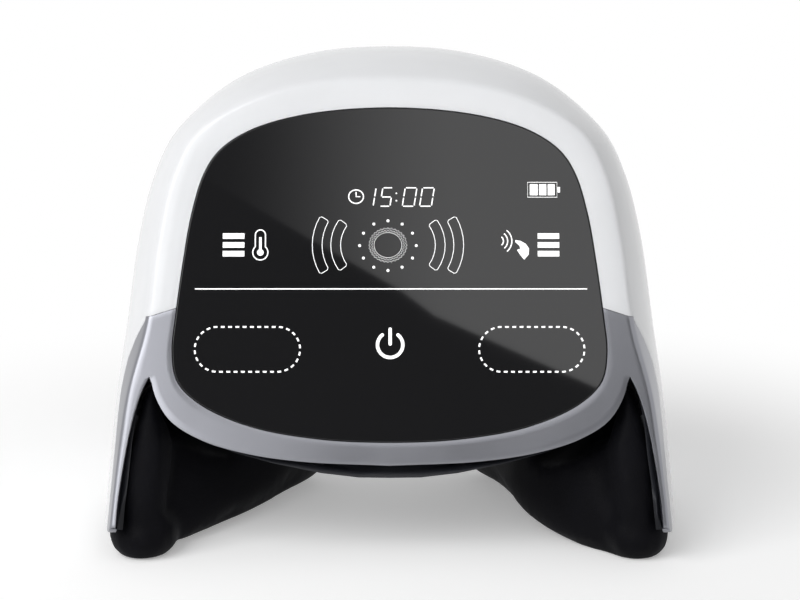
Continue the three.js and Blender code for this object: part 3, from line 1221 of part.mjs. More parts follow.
function addKneePad() {
  addPiece(massager, 'heating_film', bowlDisc(
    FILM_RING_SHARES, PAD_SECTORS, FILM_GAP, () => FILM_THICKNESS,
  ), finish.film);
  const padThickness = (share, angle) => {
    const ringRise = Math.max(0, 1 - ((share - PAD_POINT_RING_SHARE) / PAD_POINT_WIDTH_SHARE) ** 2);
    const points = ringRise * Math.max(0, Math.cos(PAD_POINTS * angle));
    const centre = Math.max(0, 1 - (share / PAD_POINT_WIDTH_SHARE) ** 2);
    return PAD_THICKNESS + PAD_POINT_HEIGHT * Math.max(points, centre);
  };
  const padGap = FILM_GAP + FILM_THICKNESS + 2 * GAP;
  addPiece(
    massager, 'knee_pad', bowlDisc(PAD_RING_SHARES, PAD_SECTORS, padGap, padThickness), finish.silicone,
  );
  const sensorBack = bowlDepthAt(0, SENSOR_V, INNER_WALL) - 2 * GAP;
  const sensor = postGeometry(
    SENSOR_RADIUS, BOSS_SIDES, 0, SENSOR_V, sensorBack - SENSOR_THICKNESS, sensorBack,
  );
  addPiece(panel, 'temperature_sensor', sensor, finish.brass);
}

// Cushions: a plate that follows the wing carries each one, and an airbag lies between the plate and
// the wing's liner. The room for the airbag opens from the front edge to the back
const PLATE_TOP_SHARES = [7.1, 5.8];
const PLATE_LOW_SHARE = 0.9875;
const PLATE_SWEEP_SHARES = [0.06, 0.88];
const ROOM_SWEEP_SHARES = [0.1, 0.6];
const TOP_SWEEP_SHARES = [0.35, 0.6];
const AIRBAG_SWEEP_SHARES = [0.34, 0.86];
const AIRBAG_INSET_SHARE = 0.12;
const AIRBAG_THICKNESS = 3;
const AIRBAG_CROWN = 5;
const PATCH_ROWS = 8;
const PLATE_LOW_STATION = PLATE_LOW_SHARE * WING_END_STATION;
const ridge = (share) => 4 * share * (1 - share);
const ease = (low, high, value) => THREE.MathUtils.smoothstep(value, low, high);
const WING_ROOM_DEPTH = WING_DEPTH + GAP + SLACK;
const plateDepthAt = (sweep) => WING_ROOM_DEPTH + AIRBAG_ROOM * ease(...ROOM_SWEEP_SHARES, sweep);
const plateTop = (sweep) => THREE.MathUtils.lerp(...PLATE_TOP_SHARES, ease(...TOP_SWEEP_SHARES, sweep));

function addPlateAndAirbag(name, side, ceiling) {
  const placeOnWing = ([from, to], inset) => (a, b) => {
    const sweep = THREE.MathUtils.lerp(from, to, b);
    const top = plateTop(sweep) + inset;
    return [side * THREE.MathUtils.lerp(top, PLATE_LOW_STATION - inset, a), sweep];
  };
  const plate = hoodPatch(
    placeOnWing(PLATE_SWEEP_SHARES, 0), (_, sweep) => plateDepthAt(sweep),
    (_, sweep) => plateDepthAt(sweep) + CUSHION_PLATE, PATCH_ROWS, PATCH_ROWS,
  );
  addPiece(
    massager, `${name}_cushion_plate`, toGeometry(toSolid(plate).subtract(ceiling)), finish.blackSatin,
  );
  const [from, to] = AIRBAG_SWEEP_SHARES;
  const crown = (station, sweep) => {
    const top = plateTop(sweep);
    const a = (Math.abs(station) - top) / (PLATE_LOW_STATION - top);
    const b = (sweep - from) / (to - from);
    return Math.max(0, ridge(a) * ridge(b));
  };
  const airbag = hoodPatch(
    placeOnWing(AIRBAG_SWEEP_SHARES, AIRBAG_INSET_SHARE), () => WING_ROOM_DEPTH,
    (station, sweep) => Math.min(
      plateDepthAt(sweep) - GAP, WING_ROOM_DEPTH + AIRBAG_THICKNESS + AIRBAG_CROWN * crown(station, sweep),
    ),
    PATCH_ROWS, PATCH_ROWS,
  );
  addPiece(massager, `${name}_airbag`, toGeometry(toSolid(airbag).subtract(ceiling)), finish.bladder);
}

// Each cushion is a loft along the wing. A section stands on the line from the cushion's inner edge
// to its outer one, is as high as its row says and leans back with the panel at the front
const OUTER_EDGE_SHARES = {
  left: [
    [1.15, -0.93], [1.15, -0.79], [1.14, -0.455], [1.125, -0.121], [1.1, 0.242], [0.94, 0.64], [0.7, 0.87],
  ],
  right: [
    [1.11, -0.93], [1.12, -0.79], [1.13, -0.455], [1.125, -0.121], [1.1, 0.242], [0.94, 0.64], [0.7, 0.87],
  ],
};
const INNER_EDGE_SHARES = {
  left: [[1.03, -0.93], [0.86, -0.7], [0.7, -0.44], [0.55, -0.17], [0.41, 0.13], [0.27, 0.43], [0.235, 0.69]],
  right: [
    [1.02, -0.93], [0.85, -0.84], [0.69, -0.64], [0.55, -0.31], [0.44, 0.17], [0.31, 0.55], [0.27, 0.76],
  ],
};
const CUSHION_RISE_SHARES = [0.44, 0.44, 0.45, 0.5, 0.6, 0.94, 0.88];
const CUSHION_LEAN_SHARES = [1, 0.9, 0.5, 0.2, 0, 0, 0];
const CUSHION_END_SHARES = [0.6, 0.87, 0.97, 1];
const CUSHION_ROUNDNESS = 3;
const SOLE_ROUNDNESS = 5;
const CUSHION_RINGS = 22;
const CUSHION_SIDES = 18;
const SOLE_CUT = 0.5;
const CUSHION_TUCK = 1.8;
const CEILING_GAP = 12;
const BOWL_GAP = 7;

function cushionGeometry(name, side) {
  const curveOf = (shares) => new THREE.CatmullRomCurve3(
    shares.map(
      ([x, y]) => new THREE.Vector3(side * x * FRONT_HALF_WIDTH, y * REAR_REACH, 0),
    ), false, 'centripetal',
  );
  const valueCurve = (shares) => new THREE.CatmullRomCurve3(
    shares.map((share, i) => new THREE.Vector3(i, share, 0)), false, 'catmullrom', 0.5,
  );
  const inner = curveOf(INNER_EDGE_SHARES[name]);
  const outer = curveOf(OUTER_EDGE_SHARES[name]);
  const rise = valueCurve(CUSHION_RISE_SHARES);
  const lean = valueCurve(CUSHION_LEAN_SHARES);
  const rings = steps(0, 1, CUSHION_RINGS).map((t, i) => {
    const end = CUSHION_END_SHARES[Math.min(i, CUSHION_RINGS - i, CUSHION_END_SHARES.length - 1)];
    const from = inner.getPoint(t);
    const to = outer.getPoint(t);
    const middle = from.clone().add(to).multiplyScalar(0.5);
    const half = to.clone().sub(from).multiplyScalar(0.5 * end);
    const height = rise.getPoint(t).y * CUSHION_HEIGHT;
    const slope = lean.getPoint(t).y * Math.tan(PANEL_TILT);
    return Array.from({ length: CUSHION_SIDES }, (_, j) => {
      const angle = (j + 0.5) / CUSHION_SIDES * Math.PI * 2;
      const roundness = Math.sin(angle) < 0 ? SOLE_ROUNDNESS : CUSHION_ROUNDNESS;
      const roundOff = (value) => Math.sign(value) * Math.abs(value) ** (2 / roundness);
      const z = height / 2 * (1 + end * roundOff(Math.sin(angle))) - SOLE_CUT;
      const spot = middle.clone().addScaledVector(half, roundOff(Math.cos(angle)));
      return new THREE.Vector3(spot.x, spot.y + z * slope, z);
    });
  });
  return loftGeometry(rings);
}

function addCushion(name, side, housed, ceiling) {
  const cushion = toSolid(cushionGeometry(name, side))
    .subtract(below(0))
    .subtract(housed)
    .subtract(ceiling);
  addPiece(massager, `${name}_cushion`, toGeometry(cushion), finish.fabric);
}

function addCushions() {
  const free = hoodCore((_, sweep) => plateDepthAt(Math.max(sweep, 0)) + CUSHION_PLATE + GAP);
  const housed = blockSolid(0, 0, WING_LIFT - CUSHION_TUCK + FAR / 2, 2 * FAR, 2 * FAR, FAR).subtract(free);
  const ceiling = floorSolid(-CEILING_GAP).subtract(bowlSolid(-BOWL_GAP));
  [['left', -1], ['right', 1]].forEach(([name, side]) => {
    addPlateAndAirbag(name, side, ceiling);
    addCushion(name, side, housed, ceiling);
  });
}

addGlass();
addHousing();
addScrews('housing_screw', housingScrews, HOUSING_SCREW);
addInnerShell();
addDisplay();
addMainBoard();
addBattery();
addCharging();
addPump();
addVibrationMotors();
addValve();
addTee();
addTubes();
addLeads();
addKneePad();
addCushions();

// The origin lies under the middle of the massager
const bounds = new THREE.Box3().setFromObject(massager, true);
massager.position.y = -(bounds.min.y + bounds.max.y) / 2;

export default massager;
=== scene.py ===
# %% [markdown]
# # Knee massager
# This lesson dresses a knee massager. Its frame is already there: every part at its real size, in
# metres, with Z up. What a person sees and touches is modelled again here with fine surfaces: the
# white hood, the grey frame, the glass with its lit symbols, the soft cushions and the heated pad.
# Each new piece takes the place of the plain part that it stands for.

# %% Load the frame
import functools
import json
import math

import bpy
import numpy as np
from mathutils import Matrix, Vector


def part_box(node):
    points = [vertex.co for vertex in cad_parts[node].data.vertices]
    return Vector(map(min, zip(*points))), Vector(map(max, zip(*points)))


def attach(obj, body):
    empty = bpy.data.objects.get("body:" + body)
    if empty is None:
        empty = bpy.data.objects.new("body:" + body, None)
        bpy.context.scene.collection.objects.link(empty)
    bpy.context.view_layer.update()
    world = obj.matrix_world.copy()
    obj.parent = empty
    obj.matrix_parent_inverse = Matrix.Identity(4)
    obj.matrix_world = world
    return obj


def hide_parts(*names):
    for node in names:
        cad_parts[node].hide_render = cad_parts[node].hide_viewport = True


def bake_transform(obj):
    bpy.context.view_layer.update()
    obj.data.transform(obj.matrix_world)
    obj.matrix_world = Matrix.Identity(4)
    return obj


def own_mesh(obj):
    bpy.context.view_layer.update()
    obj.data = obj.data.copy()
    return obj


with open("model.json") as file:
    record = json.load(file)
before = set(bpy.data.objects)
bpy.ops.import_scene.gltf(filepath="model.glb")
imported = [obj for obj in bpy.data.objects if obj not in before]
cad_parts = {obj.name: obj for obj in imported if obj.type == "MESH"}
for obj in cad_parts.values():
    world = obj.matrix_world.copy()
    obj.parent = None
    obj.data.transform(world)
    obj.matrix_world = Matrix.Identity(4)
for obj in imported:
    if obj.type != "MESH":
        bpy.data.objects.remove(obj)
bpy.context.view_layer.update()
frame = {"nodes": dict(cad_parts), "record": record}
NODES = frame["nodes"]
MM = 0.001
print("loaded", len(NODES), "parts")

# %% [markdown]
# Blender's operators work on whatever is selected, and the frame arrives with everything selected.
# So one helper makes a single object the selected and active one. Two more run an operator of edit
# mode on a whole mesh or on chosen faces, and the last two add modifiers and apply them for good.


# %% Selection helpers
def select_only(piece):
    bpy.ops.object.select_all(action="DESELECT")
    piece.select_set(True)
    bpy.context.view_layer.objects.active = piece


def edit_all(operator, **settings):
    bpy.ops.object.mode_set(mode="EDIT")
    bpy.ops.mesh.select_all(action="SELECT")
    operator(**settings)
    bpy.ops.object.mode_set(mode="OBJECT")


def edit_faces(piece, wanted, operator, **settings):
    """Runs an operator of edit mode on the faces that the test picks."""
    select_only(piece)
    bpy.ops.object.mode_set(mode="EDIT")
    bpy.ops.mesh.select_mode(type="FACE")
    bpy.ops.mesh.select_all(action="DESELECT")
    bpy.ops.object.mode_set(mode="OBJECT")
    for polygon in piece.data.polygons:
        polygon.select = wanted(polygon)
    bpy.ops.object.mode_set(mode="EDIT")
    operator(**settings)
    bpy.ops.object.mode_set(mode="OBJECT")


def apply_modifiers(piece):
    select_only(piece)
    for modifier in list(piece.modifiers):
        bpy.ops.object.modifier_apply(modifier=modifier.name)


def add_modifier(piece, kind, **settings):
    modifier = piece.modifiers.new(kind.title(), kind)
    for name, value in settings.items():
        setattr(modifier, name, value)
    return modifier


print("selection and modifier helpers are ready")

# %% [markdown]
# The camera comes first, because every shape is judged through it. It looks along +Y from a little
# above. The distance and the width of one picture point at the target give the focal length.

# %% Camera
VIEW_ELEVATION = math.radians(13.5)
VIEW_DISTANCE = 1.0
PHOTO_WIDTH = 800
POINT_WIDTH = 0.371 * MM
SENSOR_WIDTH = 36.0
VIEW_TARGET = Vector((3.7, 1.66, 81.0)) * MM

bpy.ops.object.camera_add()
camera = bpy.context.object
camera.name = "camera"
towards_camera = Vector((0, -math.cos(VIEW_ELEVATION), math.sin(VIEW_ELEVATION)))
camera.location = VIEW_TARGET + towards_camera * VIEW_DISTANCE
camera.rotation_euler = (-towards_camera).to_track_quat("-Z", "Y").to_euler()
camera.data.sensor_width = SENSOR_WIDTH
camera.data.lens = SENSOR_WIDTH * VIEW_DISTANCE / (PHOTO_WIDTH * POINT_WIDTH)
bpy.context.scene.camera = camera
print("focal length in mm", round(camera.data.lens, 1))

# %% [markdown]
# The touch panel is a tilted plane. Its middle and its direction are stated in the record, as the
# mount on the glass. Places on the panel are given as u to the right, v up the slope and a depth
# behind the glass, and this helper turns them into places in space.

# %% Panel frame
glass_mount = next(m for m in frame["record"]["mounts"] if m["name"] == "glass_face")
PANEL_ORIGIN = Vector(glass_mount["pos_m"])
PANEL_NORMAL = Vector(glass_mount["axis"]).normalized()
PANEL_UP = PANEL_NORMAL.cross(Vector((1, 0, 0)))


def panel_point(u, v, depth=0.0):
    return PANEL_ORIGIN + Vector((u, 0, 0)) + PANEL_UP * v - PANEL_NORMAL * depth


print("panel tilt in degrees", round(math.degrees(math.asin(PANEL_NORMAL.z)), 1))

# %% [markdown]
# The hood is a lofted surface. Three rails run from the left wing over the top to the right wing:
# one along the crease round the panel, one over the middle of the hood and one along the rear edge.
# Each rail is a smooth curve through a few points, given as shares of the hood's main sizes, and a
# bowed line joins the three rails at every station.

# %% Hood sizes and rails
HALF_GLASS_WIDTH = 77.2 * MM
HALF_GLASS_HEIGHT = 60 * MM
SIDE_BORDER = 10 * MM
TOP_BORDER = 11 * MM
LOWER_BORDER = 8.3 * MM
WING_REACH = 93.5 * MM
WING_LIFT = 11.5 * MM
REAR_REACH = 66 * MM
FRONT_HALF_WIDTH = HALF_GLASS_WIDTH + SIDE_BORDER
FRONT_TOP = HALF_GLASS_HEIGHT + TOP_BORDER
FRONT_LOW = HALF_GLASS_HEIGHT + LOWER_BORDER
PANEL_HEIGHT = PANEL_ORIGIN.z
REAR_OFFSET = PANEL_ORIGIN.y + 36.6 * MM
LAST_STATION = 9
GLASS_SHARES = [
    (0, 1), (0.4, 0.957), (0.65, 0.862), (0.79, 0.74), (0.86, 0.6), (0.915, 0.36), (0.952, 0.078),
    (0.985, -0.25), (1, -0.47), (0.975, -0.64), (0.874, -0.772), (0.644, -0.905), (0.33, -0.98), (0, -1),
]
BEZEL_SHARES = [
    (0, -1), (0.365, -0.978), (0.608, -0.93), (0.771, -0.864), (0.891, -0.767), (0.952, -0.641),
    (0.972, -0.54),
]
WING_EDGE_SHARES = [
    (0.978, -0.392), (1.006, -0.446), (1.033, -0.522), (1.053, -0.598), (1.069, -0.674), (1.1, -0.87),
    (1.112, -1.02),
]
FRONT_RAIL_SHARES = [
    (0, 1), (0.31, 0.975), (0.573, 0.887), (0.787, 0.725), (0.89, 0.493),
    (0.947, 0.169), (0.992, -0.193), (1.074, -0.503), (1.134, -1), (1.145, -1.16),
]
MIDDLE_RAIL_SHARES = [
    (0, 0.182, 1.022), (0.338, 0.174, 0.993), (0.645, 0.159, 0.875), (0.885, 0.136, 0.642),
    (0.995, 0.121, 0.396), (1.065, 0.121, 0.072), (1.108, 0.136, -0.229), (1.132, 0.167, -0.55),
    (1.14, 0.212, -0.95), (1.142, 0.22, -1.09),
]
REAR_RAIL_SHARES = [
    (0, 0.545, 1), (0.333, 0.553, 0.96), (0.612, 0.576, 0.825), (0.825, 0.621, 0.58),
    (0.922, 0.674, 0.318), (0.958, 0.742, -0.016), (0.935, 0.833, -0.294), (0.843, 0.924, -0.615),
    (0.711, 1, -0.95), (0.67, 1.01, -1.09),
]
print("stations on each side of the hood", LAST_STATION)

# %% [markdown]
# A smooth line through a few points could be a Bezier curve, but its handles have to be set by hand.
# A Catmull-Rom curve takes its slopes from the neighbouring points. Its centripetal form also keeps
# tight corners clean, so the outlines of the glass and the bezel use it.


# %% Smooth curves through points
CURVE_SAMPLES = 24
SMALLEST = 1e-9


def smooth_step(first, leaving, last, arriving, w):
    """A point between two others, at share w, with the given slopes at both ends."""
    return (
        first * (2 * w**3 - 3 * w**2 + 1)
        + leaving * (w**3 - 2 * w**2 + w)
        + last * (3 * w**2 - 2 * w**3)
        + arriving * (w**3 - w**2)
    )


def smooth_curve(points):
    """A function from 0 to 1 along a uniform Catmull-Rom curve through the points."""
    points = [Vector(p) for p in points]
    before = points[0] * 2 - points[1]
    after = points[-1] * 2 - points[-2]
    padded = [before, *points, after]

    def at(share):
        along = min(max(share, 0.0), 1.0) * (len(points) - 1)
        i = min(int(along), len(points) - 2)
        a, b, c, d = padded[i : i + 4]
        return smooth_step(b, (c - a) / 2, c, (d - b) / 2, along - i)

    return at


def centripetal_curve(points, closed=False):
    """Dense points along a centripetal Catmull-Rom curve, which keeps tight corners free of loops."""
    if closed:
        knots = [points[-1], *points, points[0], points[1]]
    else:
        knots = [points[0] * 2 - points[1], *points, points[-1] * 2 - points[-2]]
    made = []
    for i in range(len(knots) - 3):
        p0, p1, p2, p3 = knots[i : i + 4]
        d0, d1, d2 = (max((b - a).length ** 0.5, SMALLEST) for a, b in ((p0, p1), (p1, p2), (p2, p3)))
        m1 = ((p1 - p0) / d0 - (p2 - p0) / (d0 + d1) + (p2 - p1) / d1) * d1
        m2 = ((p2 - p1) / d1 - (p3 - p1) / (d1 + d2) + (p3 - p2) / d2) * d1
        made += [smooth_step(p1, m1, p2, m2, k / CURVE_SAMPLES) for k in range(CURVE_SAMPLES)]
    if not closed:
        made.append(points[-1])
    return made


# %% [markdown]
# Two numbers find a place on the hood: the station, from 0 at the middle to 9 at a wing's end, and
# the sweep, from 0 at the crease to 1 at the rear edge.


# %% Hood surface
def rise_of(share):
    """A height from its share: of the hood's top above the panel's middle, of the wing below it."""
    return share * (FRONT_TOP if share > 0 else WING_REACH)


def mirrored(points):
    """The points of both sides: the mirrored ones from the far end, and then the given ones."""
    return [Vector((-p.x, p.y, p.z)) for p in points[:0:-1]] + points


def hood_rail(shares):
    return smooth_curve(mirrored([
        Vector((x * FRONT_HALF_WIDTH, REAR_OFFSET + y * REAR_REACH, PANEL_HEIGHT + rise_of(z)))
        for x, y, z in shares
    ]))


front_rail = smooth_curve(mirrored([
    panel_point(x * FRONT_HALF_WIDTH, rise_of(v)) for x, v in FRONT_RAIL_SHARES
]))
middle_rail = hood_rail(MIDDLE_RAIL_SHARES)
rear_rail = hood_rail(REAR_RAIL_SHARES)


def hood_point(station, sweep):
    along = (station / LAST_STATION + 1) / 2
    front, middle, rear = front_rail(along), middle_rail(along), rear_rail(along)
    bow = middle * 2 - front / 2 - rear / 2
    return front * (1 - sweep) ** 2 + bow * 2 * sweep * (1 - sweep) + rear * sweep**2


def depth_of(point):
    """How far behind the panel's plane a point lies."""
    return -(point - PANEL_ORIGIN).dot(PANEL_NORMAL)


def panel_place(point):
    """Where a point is on the panel, as u and v."""
    offset = point - PANEL_ORIGIN
    return offset.x, offset.dot(PANEL_UP)


print("hood top in mm", round(hood_point(0, 0.5).z / MM, 1))

# %% [markdown]
# The glass and the bezel have smooth outlines that can be reached from the panel's middle in one
# straight line. So each outline is kept as a table of direction and distance, and any point on it
# is found by its direction.


# %% Outlines round the panel's middle
def outline_by_angle(points):
    """A function from a direction in radians to the outline's place in that direction."""
    angles = np.array([math.atan2(p.y, p.x) for p in points])
    reaches = np.array([math.hypot(p.x, p.y) for p in points])
    order = np.argsort(angles)
    angles, reaches = angles[order], reaches[order]

    def at(angle):
        reach = float(np.interp(angle, angles, reaches, period=2 * math.pi))
        return Vector((reach * math.cos(angle), reach * math.sin(angle), 0))

    return at


def flat_points(shares, width, height):
    return [Vector((x * width, y * height, 0)) for x, y in shares]


glass_half = flat_points(GLASS_SHARES, HALF_GLASS_WIDTH, HALF_GLASS_HEIGHT)
glass_left = mirrored(glass_half)[1 : len(glass_half) - 1]
glass_outline = centripetal_curve(glass_half + glass_left, closed=True)
glass_at = outline_by_angle(glass_outline)
bezel_half = centripetal_curve(flat_points(BEZEL_SHARES, FRONT_HALF_WIDTH, FRONT_LOW))
bezel_at = outline_by_angle(bezel_half)
wing_edge = centripetal_curve(flat_points(WING_EDGE_SHARES, FRONT_HALF_WIDTH, WING_REACH))
print("glass outline points", len(glass_outline))

# %% [markdown]
# White hood and grey frame meet along a parting line. On the front it crosses the side border, and
# on the side wall it swings back and then runs down close to the front edge. Places like the station
# where it crosses the crease have no formula, so they are found by halving a range again and again.

# %% Parting line
PARTING_FRONT_V = -12.5 * MM
PARTING_CREASE_V = -15.5 * MM
PARTING_SIDE = [
    (-70.3, 8.4), (-58.2, 9.4), (-47.9, 11.6), (-37.1, 13.2), (-28.2, 12.2), (-21.5, 7.6), (-18, 3.6),
    (-15.5, 0),
]
CREASE_ROUND = 1.7 * MM
CREASE_SHARE = 0.6
PARTING_START = 1.9 * MM
SEAM = 0.14 * MM
GLASS_SEAM = 0.25 * MM
SWEEP_SAMPLES = np.linspace(0, 0.6, 121)
HALVINGS = 26


def solve(low, high, above):
    """The value between low and high where above(value) turns from false to true."""
    for _ in range(HALVINGS):
        middle = (low + high) / 2
        if above(middle):
            high = middle
        else:
            low = middle
    return high


def crease_v(station):
    return panel_place(hood_point(station, 0))[1]


parting_station = solve(0, LAST_STATION, lambda station: crease_v(station) < PARTING_CREASE_V)


@functools.cache
def sweep_at_depth(station, depth):
    """How far along a station's line the hood is this deep behind the panel."""
    depths = [depth_of(hood_point(station, sweep)) for sweep in SWEEP_SAMPLES]
    return float(np.interp(depth, depths, SWEEP_SAMPLES))


@functools.cache
def parting_sweep(station):
    """Where the parting line crosses a station of the wing."""
    vs, backs = ([value * MM for value in values] for values in zip(*PARTING_SIDE))
    points = [hood_point(station, sweep) for sweep in SWEEP_SAMPLES]
    excess = [depth_of(p) - float(np.interp(panel_place(p)[1], vs, backs)) for p in points]
    crossing = float(np.interp(0, excess, SWEEP_SAMPLES))
    return max(crossing, sweep_at_depth(station, PARTING_START))


print("parting station", round(parting_station, 2))

# %% [markdown]
# The wings end level, with a small round corner in front and a large one at the rear. A line along
# the hood is followed until it comes below that end.

# %% Wing ends
WING_FRONT_CORNER = 7 * MM
WING_REAR_CORNER = 20 * MM
WING_END_STATION = 8
WING_END_SEARCH = (6.5, LAST_STATION - 0.02)
front_tip_y = panel_point(0, -WING_REACH).y
rear_tip_y = hood_point(WING_END_STATION, 1).y


def level_end(y):
    """The height where a wing ends, at a place between its front and its rear tip."""
    from_front = max(front_tip_y + WING_FRONT_CORNER - y, 0)
    from_rear = max(y - rear_tip_y + WING_REAR_CORNER, 0)
    if from_front > 0:
        reach = min(from_front, WING_FRONT_CORNER)
        return WING_LIFT + WING_FRONT_CORNER - math.sqrt(WING_FRONT_CORNER**2 - reach**2)
    reach = min(from_rear, WING_REAR_CORNER)
    return WING_LIFT + WING_REAR_CORNER - math.sqrt(WING_REAR_CORNER**2 - reach**2)


@functools.cache
def end_station(sweep):
    """The station where a line along the hood reaches the level end."""

    def past_end(station):
        point = hood_point(station, sweep)
        return point.z < level_end(point.y)

    return solve(*WING_END_SEARCH, past_end)


print("level end of the crease at station", round(end_station(0), 2))

# %% [markdown]
# A moulded shell is easiest as a single sheet that is thickened afterwards. The sheet starts as
# Blender's flat grid. Each of its points is then moved to its place on the hood by its column,
# which runs along the rails, and its row, which runs from the glass over the crease to the rear.


# %% Sheets from a grid
SHEET_GAP = 0.004 * MM
MERGE_GAP = 0.01 * MM
SMOOTH_ANGLE = math.radians(40)
RIM_ANGLE = math.radians(55)
RIM_ROUND = 0.25 * MM


def grid_sheet(name, columns, rows, place):
    """A grid of columns by rows faces, with every corner moved to place(column, row)."""
    bpy.ops.mesh.primitive_grid_add(x_subdivisions=columns, y_subdivisions=rows, size=2)
    piece = bpy.context.object
    piece.name = name
    for vertex in piece.data.vertices:
        column = round((vertex.co.x + 1) / 2 * columns)
        row = round((vertex.co.y + 1) / 2 * rows)
        vertex.co = place(column, row)
    return piece


def join_sheets(name, sheets):
    bpy.ops.object.select_all(action="DESELECT")
    for sheet in sheets:
        sheet.select_set(True)
    bpy.context.view_layer.objects.active = sheets[0]
    bpy.ops.object.join()
    piece = bpy.context.object
    piece.name = name
    piece.data.name = name
    edit_all(bpy.ops.mesh.remove_doubles, threshold=SHEET_GAP)
    return piece


def finish_shell(piece, wall):
    """Mirrors a half sheet, gives it its wall and rounds its rims."""
    add_modifier(piece, "MIRROR", use_axis=(True, False, False), use_clip=True, merge_threshold=MERGE_GAP)
    add_modifier(piece, "SOLIDIFY", thickness=wall, offset=-1, use_even_offset=True)
    add_modifier(piece, "BEVEL", width=RIM_ROUND, segments=3, limit_method="ANGLE", angle_limit=RIM_ANGLE)
    apply_modifiers(piece)
    bpy.ops.object.shade_smooth_by_angle(angle=SMOOTH_ANGLE)
    print(piece.name, "faces", len(piece.data.polygons))


# %% [markdown]
# Both mouldings bend over the crease with the same small round and meet the glass with the same
# seam, so the helpers for these are shared. Where the border is narrow, the round is smaller too. The
# stations of a wing are spread so that the last one is the level end.


# %% Wings, crease and glass seam
def wing_station(share, sweep):
    return parting_station + (end_station(sweep) - parting_station) * share


def wing_place(share, sweep):
    return hood_point(wing_station(share, sweep), sweep)


def crease_reach(inner, corner):
    """How far the crease's round reaches to both sides: less where the border is narrow."""
    return min(CREASE_ROUND, CREASE_SHARE * (inner - corner).length)


def crease_bend(inner, column_place, station, share):
    """A point on the rounded crease, from the flat border at 0 to the side wall at 1."""
    corner = column_place(0)
    reach = crease_reach(inner, corner)
    start = corner + (inner - corner).normalized() * reach
    end = column_place(sweep_at_depth(station, reach))
    return start * (1 - share) ** 2 + corner * 2 * share * (1 - share) + end * share**2


def border_direction(station):
    """Where the border's inner edge lies for a station of the arch, as a direction."""
    u, v = panel_place(hood_point(station, 0))
    last_u, last_v = panel_place(hood_point(parting_station, 0))
    glass_end = math.atan2(PARTING_FRONT_V + SEAM / 2, HALF_GLASS_WIDTH)
    stretch = (math.pi / 2 - glass_end) / (math.pi / 2 - math.atan2(last_v, last_u))
    return math.pi / 2 - (math.pi / 2 - math.atan2(v, u)) * stretch


def glass_edge(direction):
    """A point just outside the glass, in a direction from its middle."""
    edge = glass_at(direction)
    edge = edge * (1 + GLASS_SEAM / edge.length)
    return panel_point(edge.x, edge.y)


top_edge = glass_edge(math.pi / 2)
print("border at the top in mm", round((hood_point(0, 0) - top_edge).length / MM, 1))

# %% [markdown]
# The white outer shell is one sheet: a flat border beside the glass, a soft crease, and the wall
# that goes back to the rear edge. Below the parting line the border is missing and the wall starts
# at the parting line. One station is about 20 mm long, which makes the seam a share of a station.

# %% White outer shell
SHELL_WALL = 2.5 * MM
ARCH_COLUMNS = 64
WING_COLUMNS = 40
BORDER_ROWS = 3
CREASE_ROWS = 5
WALL_ROWS = 26
WALL_FIRST = BORDER_ROWS + CREASE_ROWS
STATION_LENGTH = 20 * MM


def shell_place(column, row):
    if column <= ARCH_COLUMNS:
        station = (parting_station - SEAM / 2 / STATION_LENGTH) * column / ARCH_COLUMNS
        inner = glass_edge(border_direction(station))
        along_station = functools.partial(hood_point, station)
        if row <= BORDER_ROWS:
            return inner.lerp(crease_bend(inner, along_station, station, 0), row / BORDER_ROWS)
        if row <= WALL_FIRST:
            return crease_bend(inner, along_station, station, (row - BORDER_ROWS) / CREASE_ROWS)
        first = sweep_at_depth(station, CREASE_ROUND)
        return hood_point(station, first + (1 - first) * (row - WALL_FIRST) / WALL_ROWS)
    share = (column - ARCH_COLUMNS) / WING_COLUMNS
    first = parting_sweep(wing_station(share, 0)) + sweep_at_depth(parting_station, SEAM / 2)
    along = max(row - WALL_FIRST, 0) / WALL_ROWS
    return wing_place(share, first + (1 - first) * along)


shell = grid_sheet("white_shell", ARCH_COLUMNS + WING_COLUMNS, WALL_FIRST + WALL_ROWS, shell_place)


def is_lost_border(polygon):
    columns = ARCH_COLUMNS + WING_COLUMNS + 1
    corners = [(v % columns, v // columns) for v in polygon.vertices]
    return max(c for c, _ in corners) > ARCH_COLUMNS and max(r for _, r in corners) <= WALL_FIRST


edit_faces(shell, is_lost_border, bpy.ops.mesh.delete, type="FACE")
finish_shell(shell, SHELL_WALL)
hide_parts("outer_shell")
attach(shell, "housing")

# %% [markdown]
# The grey frame has a flat plate beside and under the glass, a strip next to the crease, the crease
# itself, and a return that goes back to the parting line. The bezel's lower edge and the wing's inner
# edge meet in a notch, here called the crotch.

# %% Rows of the grey frame
PLATE_ROWS = 4
STRIP_ROWS = 3
RETURN_ROWS = 5
PLATE_SHARE = 0.62
BEND_FIRST = PLATE_ROWS + STRIP_ROWS
RETURN_FIRST = BEND_FIRST + CREASE_ROWS
CROTCH_V = WING_EDGE_SHARES[0][1] * WING_REACH
FRAME_ROWS = RETURN_FIRST + RETURN_ROWS
crotch_share = solve(0, 1, lambda share: crease_v(wing_station(share, 0)) < CROTCH_V)
crotch_point = panel_point(WING_EDGE_SHARES[0][0] * FRONT_HALF_WIDTH, CROTCH_V)
crotch_angle = math.atan2(BEZEL_SHARES[-1][1] * FRONT_LOW, BEZEL_SHARES[-1][0] * FRONT_HALF_WIDTH)


